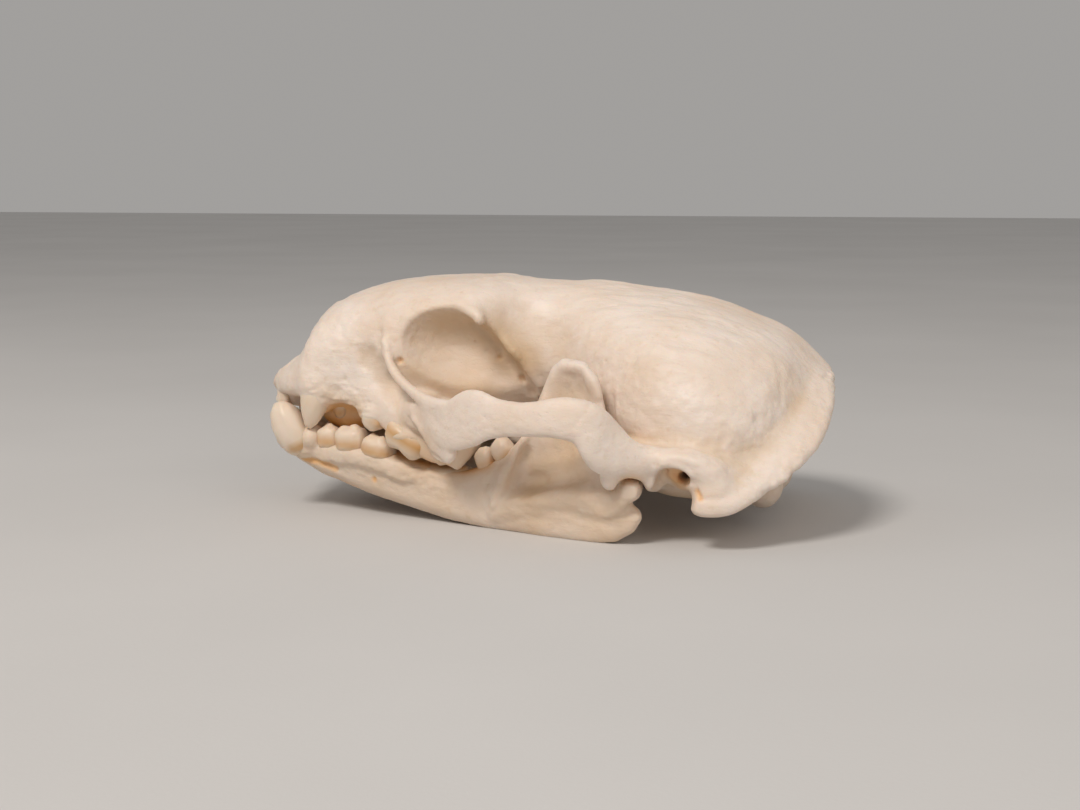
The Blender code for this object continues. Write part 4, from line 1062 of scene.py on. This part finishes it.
# Inside the nose: the septum, a thin plate down the middle, and thin bones rolled into scrolls beside
# it. All are bare bone, fused at their rear to the walls of the nose.
NOSE_CENTRE = Vector((-53.4, 0.0, 37.2))
NOSE_DEEP = Vector((0.777, 0, -0.629))
NOSE_UP = Vector((0.629, 0, 0.777))
SCROLL_WALL = 0.5
SCROLLS = [  # out from the middle, up, radius, turns, how far its front end stands forward
    (4.9, -3.2, 2.9, 2, 0), (4.3, 2.6, 2.6, 1.8, -0.8), (7.2, 0.6, 1.8, 1.6, 0.8),
    (2.2, -0.2, 1.5, 1.4, -0.6), (2.6, 6, 1.6, 1.5, 0.4), (2, -6, 1.5, 1.4, -0.4),
    (6.2, 5.2, 1.5, 1.4, 0.6),
]

# A scroll's front and rear along the nose's depth, in how many steps it is laid along its depth and
# round its spiral, and how much of its radius it loses on the way in.
SCROLL_FRONT = -3.5
SCROLL_BACK = 6
SCROLL_DEPTHS = 9
SCROLL_STEPS = 60
SCROLL_CLOSING = 0.75
SEPTUM = [(-1.5, -7), (-2.5, 0), (-1, 7), (8, 6), (8, -6)]
SEPTUM_HALF = 0.4


def scroll(side, out, up, radius, turns, forward):
    """A thin plate rolled up into a spiral about the nose's depth."""
    middle = NOSE_CENTRE + Vector((0, side * out, 0)) + NOSE_UP * up
    depths = list(np.linspace(SCROLL_FRONT - forward, SCROLL_BACK, SCROLL_DEPTHS))
    rings = []
    for at in np.linspace(0, 1, SCROLL_STEPS):
        angle = 2 * math.pi * turns * at + radius
        away = Vector((0, side * math.cos(angle), 0)) + NOSE_UP * math.sin(angle)
        on = middle + away * radius * (1 - SCROLL_CLOSING * at)
        rings.append([on + away * SCROLL_WALL / 2 * a + NOSE_DEEP * b
                      for a, row in ((-1, depths), (1, depths[::-1])) for b in row])
    return loft("scroll", rings)


def nose_place(deep, up):
    at = NOSE_CENTRE + NOSE_DEEP * deep + NOSE_UP * up
    return at.x, at.z


plates = [prism("septum", [nose_place(*at) for at in SEPTUM], -SEPTUM_HALF, SEPTUM_HALF)]
for side in BOTH:
    plates += [scroll(side, *sizes) for sizes in SCROLLS]
nose_bones = joined("nose_bones", plates)
dressed(nose_bones, bone_look("nose_bones"))
rumpled(nose_bones, [([tuple(NOSE_CENTRE)], 60, 0.9, 3)])
# Deep inside the nose, the scrolls are faintly darkened all over in tan, orange and brown: painted shade.
for kind, strength in (("tan", 0.4), ("orange", 0.1), ("hole_shade", 0.05)):
    painted(nose_bones, kind, [([tuple(NOSE_CENTRE)], 40, strength)])
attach(nose_bones, "root")

# The upper teeth: blunt enamel crowns on roots that are set deep in the bone of the upper jaw. They are
# ivory white, a little glossy, and stained orange at the neck.
IVORY = (0.82, 0.70, 0.58, 1)
WARM_IVORY = (0.74, 0.57, 0.41, 1)
NECK_ORANGE = (0.62, 0.33, 0.10, 1)
NECK_RADIUS = 2.2
NECK_STRENGTH = 0.75
UPPER_NECKS = [(-65, 11, 24.4), (-49.6, 15.4, 24.6), (-42, 22, 25), (-36, 23.4, 23.6),
               (-31.6, 27, 21.4), (-24.7, 28, 17.4), (-18, 28.5, 16)]

# The unevenness of all crowns: path, radius, height, size of the lumps.
TOOTH_WEAR = ([(-70, 0, 20), (-5, 0, 20)], 60, 0.3, 1.8)


def enamel_look(name):
    return mottled(name, (IVORY, WARM_IVORY), (), (("orange", NECK_ORANGE),), 0.3,
                   ("Streak", 0.0, 1.0, 0.38, 0.5), (0.12, 0.0002), (0.3, (1.0, 0.6, 0.35), 0.0015))


def tooth_row(name, rows, sides, necks):
    """The teeth of one row as one piece, with their necks marked."""
    row = joined(name, [tooth(label, side, *rest) for side in sides for label, *rest in rows])
    rumpled(row, [TOOTH_WEAR])
    dressed(row, enamel_look(name))
    painted(row, "orange", [(necks, NECK_RADIUS, NECK_STRENGTH)], sides)
    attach(row, "root")
    return row


upper_teeth = tooth_row("upper_teeth", UPPER_TEETH, BOTH, UPPER_NECKS)

# The lower jaw: two halves of bone that meet at the chin and hinge under the rear of the cheek arches.
# Each is a plate that sweeps outwards to the rear, with its condyle, ridges and a row of teeth.

# One half seen from its side, in x and z.
JAW_OUTLINE = [
    (-67.4, 20.4), (-66.8, 17), (-62.4, 11.8), (-54.8, 8.1), (-42.2, 5), (-28.8, 2.4), (-17.8, 0.4),
    (-8, -0.5), (8, -0.6), (20, -0.5), (25.4, 0.4), (29.6, 3), (31.4, 6.4), (30.4, 8.2),
    (28.4, 9.4), (28.8, 12.4), (27, 15), (24, 17), (22.6, 23), (22, 30), (20.2, 37),
    (16.6, 40.9), (11, 41.3), (8.2, 38.8), (5.2, 31.8), (1.2, 22.8), (-3.2, 18), (-8, 14.8),
    (-14.1, 12.8), (-22.1, 13.2), (-31.2, 15.2), (-39.5, 17.2), (-46.7, 18), (-54, 18.8),
    (-60, 19.4),
]

# How far out the middle of the jaw's thickness lies, half that thickness, and how much further out
# each millimetre of height takes it, against x.
JAW_X = [-70, -62, -55, -50, -46, -38, -30, -20, -10, -2, 6, 15, 24, 32]
JAW_MIDDLE = [5, 6.6, 8.2, 9.4, 12.4, 16.2, 18.2, 21, 24, 26.8, 30.4, 33.8, 36.6, 38.2]
JAW_HALF = [6, 7.4, 8.4, 8.6, 7, 5.7, 5.5, 5.2, 4.9, 4.6, 3.9, 3.3, 2.9, 2.7]
JAW_LEAN = [0.30, 0.30, 0.24, 0.22, 0.20, 0.15, 0.08, 0.03, 0, -0.02, -0.05, -0.06, -0.07, -0.07]
JAW_MIDDLE_HEIGHT = 10
EDGE_ROUND = 3.4

# Half the thickness that the plate is cut at before it takes its own, how much of that its rim loses,
# and how much its upright blade loses, over which heights and lengths.
PLATE_HALF = 4
RIM_LOSS = 0.8
BLADE_LOSS = 0.4
BLADE_Z = [10, 18]
BLADE_X = [-6, 4]
JAW_STROKES = [
    ([(3, 32, 15), (9, 33.5, 18), (12, 34.5, 25), (13, 34.5, 33)], 8, -2.3, OUT),
    ([(0, 31, 11.5), (8, 34, 13.5), (16, 36.5, 15.5)], 4.6, -1.6, OUT),
    ([(-5, 30, 4.5), (2.6, 33, 6.8), (11.5, 36, 9.2), (19, 38.5, 10)], 3.4, 1.3, OUT),
    ([(-5.4, 30, 9), (-3, 31, 14), (1, 32, 22), (6, 33.5, 33),
      (10, 34, 39.5), (17, 34.5, 39.5), (20.5, 34.5, 34)], 2.8, 1.1, OUT),
]


def jaw_plate(name, side):
    """The jaw's outline given its thickness, its rounded edges and its outward sweep."""
    plate = melted(prism(name, JAW_OUTLINE, -PLATE_HALF, PLATE_HALF))
    points = points_of(plate)
    x, z = points[:, 0], points[:, 2]
    rim = [(a, 0, c) for a, c in JAW_OUTLINE]
    depth = 1 - np.sqrt(1 - np.sqrt(nearness(points * (1, 0, 1), rim + rim[:1], EDGE_ROUND)))
    middle = np.interp(x, JAW_X, JAW_MIDDLE)
    middle += (z - JAW_MIDDLE_HEIGHT) * np.interp(x, JAW_X, JAW_LEAN)
    half = np.interp(x, JAW_X, JAW_HALF)
    half *= 1 - BLADE_LOSS * np.interp(z, BLADE_Z, [0, 1]) * np.interp(x, BLADE_X, [0, 1])
    bulge = np.sqrt(1 - RIM_LOSS * depth ** 2)
    points[:, 1] = side * (middle + points[:, 1] / PLATE_HALF * half * bulge)
    move_points(plate, points)
    if side < 0:
        plate.data.flip_normals()
    return plate


# How thick the condyle is at its ends, in its radii, and how far in it has its full thickness.
CONDYLE_END = 1.4
CONDYLE_SHOULDER = 3.5


def condyle(side):
    """The roller that the jaw turns on, slimmer at its ends, above the rear of the jaw."""
    (x_in, low, z_in), (x_out, high, z_out) = JOINT_INNER, JOINT_OUTER
    full, slim = 2 * CONDYLE_RADIUS, CONDYLE_END * CONDYLE_RADIUS
    rows = [
        (x_in, low, z_in, slim, slim),
        (*along_joint(1, low + CONDYLE_SHOULDER), full, full),
        (*along_joint(1, high - CONDYLE_SHOULDER), full, full),
        (x_out, high, z_out, slim, slim),
    ]
    return bar("condyle", rows, side)


# The ridge that runs forward from the condyle's outer end and dies away in the jaw's blade, and the
# outer edge of the jaw round the necks of the cheek teeth.
BARS["neck"] = [
    (28.4, 41.6, 12.2, 3.6, 3),
    (26.6, 40.8, 10.6, 5, 3.2),
    (23, 39.2, 9, 6.6, 3.2),
    (17.5, 36.8, 8, 7, 3.2),
]
BARS["lower_margin"] = [(x, y, z, 5, 4.6) for x, y, z in (
    (-56.5, 14.8, 14.8), (-51.4, 17, 14.6), (-45, 19.4, 14.6),
    (-37.5, 21.6, 13.8), (-31, 22.6, 11.8), (-24, 22.8, 10))]
JAW_LUMPS = [
    ("canine_socket", (-58.4, 14, 16), (4.6, 4.4, 4), (0, 30, 0)),
    ("symphysis", (-56.6, 3.2, 13.6), (11, 5, 5.6), (0, 22, 0)),
    ("alveolar_spur", (-56.4, 15.5, 18.2), (3, 4.2, 3.4)),
]
JAW_GROOVE = [(-58.6, 13.4, 12.6), (-54, 15, 12.4), (-49.5, 16.8, 11)]
FINE_JAW_STROKES = [
    ([(1.5, 32, 22.2), (-0.5, 31, 18.6), (-2.2, 30.6, 15), (-4.1, 30, 10.2), (-5.6, 30, 6.4)],
     1.7, 0.9, OUT),
    ([(-5.6, 30, 6.4), (2.6, 33, 8.3), (11.5, 36, 11.3), (19, 38, 13.2)], 1.5, 0.5, OUT),
    ([(2.2, 32, 19), (1, 32, 15), (0.6, 32, 12), (6, 34, 12.6)], 2.6, -0.9, OUT),
    (JAW_GROOVE, 1.1, -0.75, OUT),
    ([(-38, 22, 9.2)], 1, -0.7, OUT),
    ([(-3.5, 31, 8), (-1.5, 32, 15), (2, 32.5, 22.5), (6.5, 33.5, 32)], 1.6, 0.5, OUT),
    ([(-14, 27.5, 9), (-8, 29.5, 8)], 4, 0.35, OUT),
    ([(28, 41, 4), (31, 41, 6.6)], 2, 0.3),
    ([(14, 31, 12)], 2.2, -1.6, (0, -1, 0)),
]
ROUGH_JAW_PLACES = [
    ([(-55, 15, 15), (-40, 20, 13), (-20, 25, 9)], 6, 0.45, (2.6, 2, 1.6)),
    ([(-66, 4, 12), (-50, 5, 9)], 6, 0.4, 2.2),
    ([(2, 34, 8), (24, 39, 8)], 9, 0.35, (6, 2, 2)),
    ([(10, 34, 22), (14, 34, 36)], 10, 0.3, (2, 2, 5)),
    ([(-50, 12, 6), (20, 36, 0)], 4, 0.2, (4, 3, 3)),
]
# Painted shade in tan on the jaw: over its whole lower body, deepest in its fossa, and under the chin,
# along its inner side and below the condyle.
JAW_SHADE_PLACES = [
    ([(-60, 16, 14), (-40, 22, 10), (-20, 27, 8), (5, 33, 8), (25, 38, 6)], 22, 0.38),
    ([(3, 33, 12), (12, 35, 20), (13, 35, 33)], 9, 0.75),
    ([(-60, 8, 12), (-40, 18, 6)], 6, 0.25),
    ([(-40, 12, 14), (0, 24, 14)], 7, 0.45),
    ([(-58, 8, 18), (-42, 13, 16)], 6, 0.5),
    ([(22, 40, 12), (29, 42, 12)], 4, 0.35),
]
JAW_ORANGE = [
    ([(-57, 13, 19), (-45, 16, 18), (-35, 19, 15.8), (-20, 22, 13.6), (-6, 26, 13.6)], 4, 0.75),
    (JAW_GROOVE, 1.5, 0.75),
    ([(-38, 22, 9.2)], 1.3, 0.8),
    ([(-52, 13, 8.4), (-44, 17, 6.6)], 1.6, 0.3),
    ([(26, 38, 15.4), (28, 41, 15.6)], 1.6, 0.4),
]
LOWER_NECKS = [(-60.4, 20, 16), (-54.4, 19.5, 17.8), (-48.6, 21, 18), (-44, 22.5, 17.6),
               (-39.8, 23.5, 17), (-35.2, 24.5, 16.2), (-26, 25, 14.4), (-12, 26, 14),
               (-6.4, 27, 15.6), (-2.6, 28, 17.6)]

jaws = []
lower_teeth = []
for name, side in SIDES.items():
    pieces = [jaw_plate("jaw", side), condyle(side), *bars(side, "lower_margin", "neck")]
    pieces += [ellipsoid(*lump, side=side) for lump in JAW_LUMPS]
    jaw = fused("jaw_" + name, pieces)
    smoothed(jaw, round(5 * FINER))
    sculpted(jaw, JAW_STROKES, [side])
    carved(jaw, FINE_JAW_STROKES, [side])
    rumpled(jaw, ROUGH_JAW_PLACES, [side])
    smoothed(jaw, 1)
    sliced(jaw, (0, side * HALF_GAP, 0), (0, -side, 0))
    sliced(jaw, (0, 0, 0), (0, 0, -1))
    dressed(jaw, bone_look("jaw_" + name))
    # Tan on the jaw is painted shade.
    for kind, marks in (("tan", JAW_SHADE_PLACES), ("orange", JAW_ORANGE), ("hole_shade", [])):
        painted(jaw, kind, marks, [side])
    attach(jaw, "root")
    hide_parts("mandible_" + name)
    jaws.append(jaw)
    lower_teeth.append(tooth_row("lower_teeth_" + name, LOWER_TEETH, [side], LOWER_NECKS))

# All of it goes to the solids' own place, with the middle of the skull's length over the origin, and
# no point is left outside the solids' own box.
corners = points_of(skull_bone)
skull_shift = np.array(((corners[:, 0].min() + corners[:, 0].max()) / 2, 0, 0))
lowest = np.array(cad_low) / MM
highest = np.array(cad_high) / MM
for piece in [skull_bone, nose_bones, upper_teeth] + jaws + lower_teeth:
    move_points(piece, np.clip(points_of(piece) - skull_shift, lowest, highest))

# The studio: a plain pale floor, two soft warm lamps, the stronger one high at the front, and the
# camera of the photograph.
floor_mesh = bmesh.new()
bmesh.ops.create_grid(floor_mesh, x_segments=1, y_segments=1, size=3)
floor = object_of("floor", floor_mesh)
floor_look, tree, shader, here = new_look("floor")
clouds = add(tree, "TexNoise", Vector=here, Scale=6.0, Detail=4.0).outputs[0]
grit = add(tree, "TexNoise", Vector=here, Scale=900.0, Detail=2.0).outputs[0]
bump = add(tree, "Bump", Height=grit, Strength=0.15, Distance=0.0002)
wired(tree, shader, Roughness=ranged(tree, grit, 0.3, 0.7, 0.84, 0.94), Normal=bump.outputs[0],
      Base_Color=mixed(tree, ranged(tree, clouds, 0.3, 0.7), (0.60, 0.59, 0.58, 1), (0.64, 0.63, 0.62, 1)))
floor.data.materials.append(floor_look)

PHOTO_WIDTH = 1080
FOCAL_PIXELS = 1763.0
SENSOR = 36
CAMERA_AZIMUTH = math.radians(14.0)
CAMERA_ELEVATION = math.radians(7.5)
CAMERA_DISTANCE = 0.44
TARGET = Vector((-2.0, 0.0, 26.0)) * MM - Vector(skull_shift) * MM
level = math.cos(CAMERA_ELEVATION)
backwards = Vector((math.sin(CAMERA_AZIMUTH) * level, -math.cos(CAMERA_AZIMUTH) * level,
                    math.sin(CAMERA_ELEVATION)))
camera = bpy.data.objects.new("camera", bpy.data.cameras.new("camera"))
camera.data.sensor_width = SENSOR
camera.data.lens = FOCAL_PIXELS * SENSOR / PHOTO_WIDTH
camera.data.clip_start = 0.01
camera.location = TARGET + CAMERA_DISTANCE * backwards
camera.rotation_mode = "QUATERNION"
camera.rotation_quaternion = backwards.to_track_quat("Z", "Y")
scene.collection.objects.link(camera)
scene.camera = camera

world = bpy.data.worlds.new("studio")
world.use_nodes = True
wired(world.node_tree, world.node_tree.nodes["Background"], Color=(1.0, 0.97, 0.94, 1), Strength=0.36)
scene.world = world


def soft_light(name, place, target, size, watts, tint):
    lamp = bpy.data.objects.new(name, bpy.data.lights.new(name, "AREA"))
    lamp.data.shape = "DISK"
    lamp.data.size = size
    lamp.data.energy = watts
    lamp.data.color = tint
    lamp.location = place
    lamp.rotation_mode = "QUATERNION"
    lamp.rotation_quaternion = (Vector(place) - Vector(target)).to_track_quat("Z", "Y")
    scene.collection.objects.link(lamp)


soft_light("key", (-0.25, -0.75, 0.95), (0, 0, 0.03), 0.35, 8.2, (1.0, 0.94, 0.88))
soft_light("fill", (0.8, -0.7, 0.5), (0, 0, 0.03), 0.8, 2, (1.0, 0.95, 0.9))
scene.view_settings.view_transform = "Standard"

bpy.context.view_layer.update()
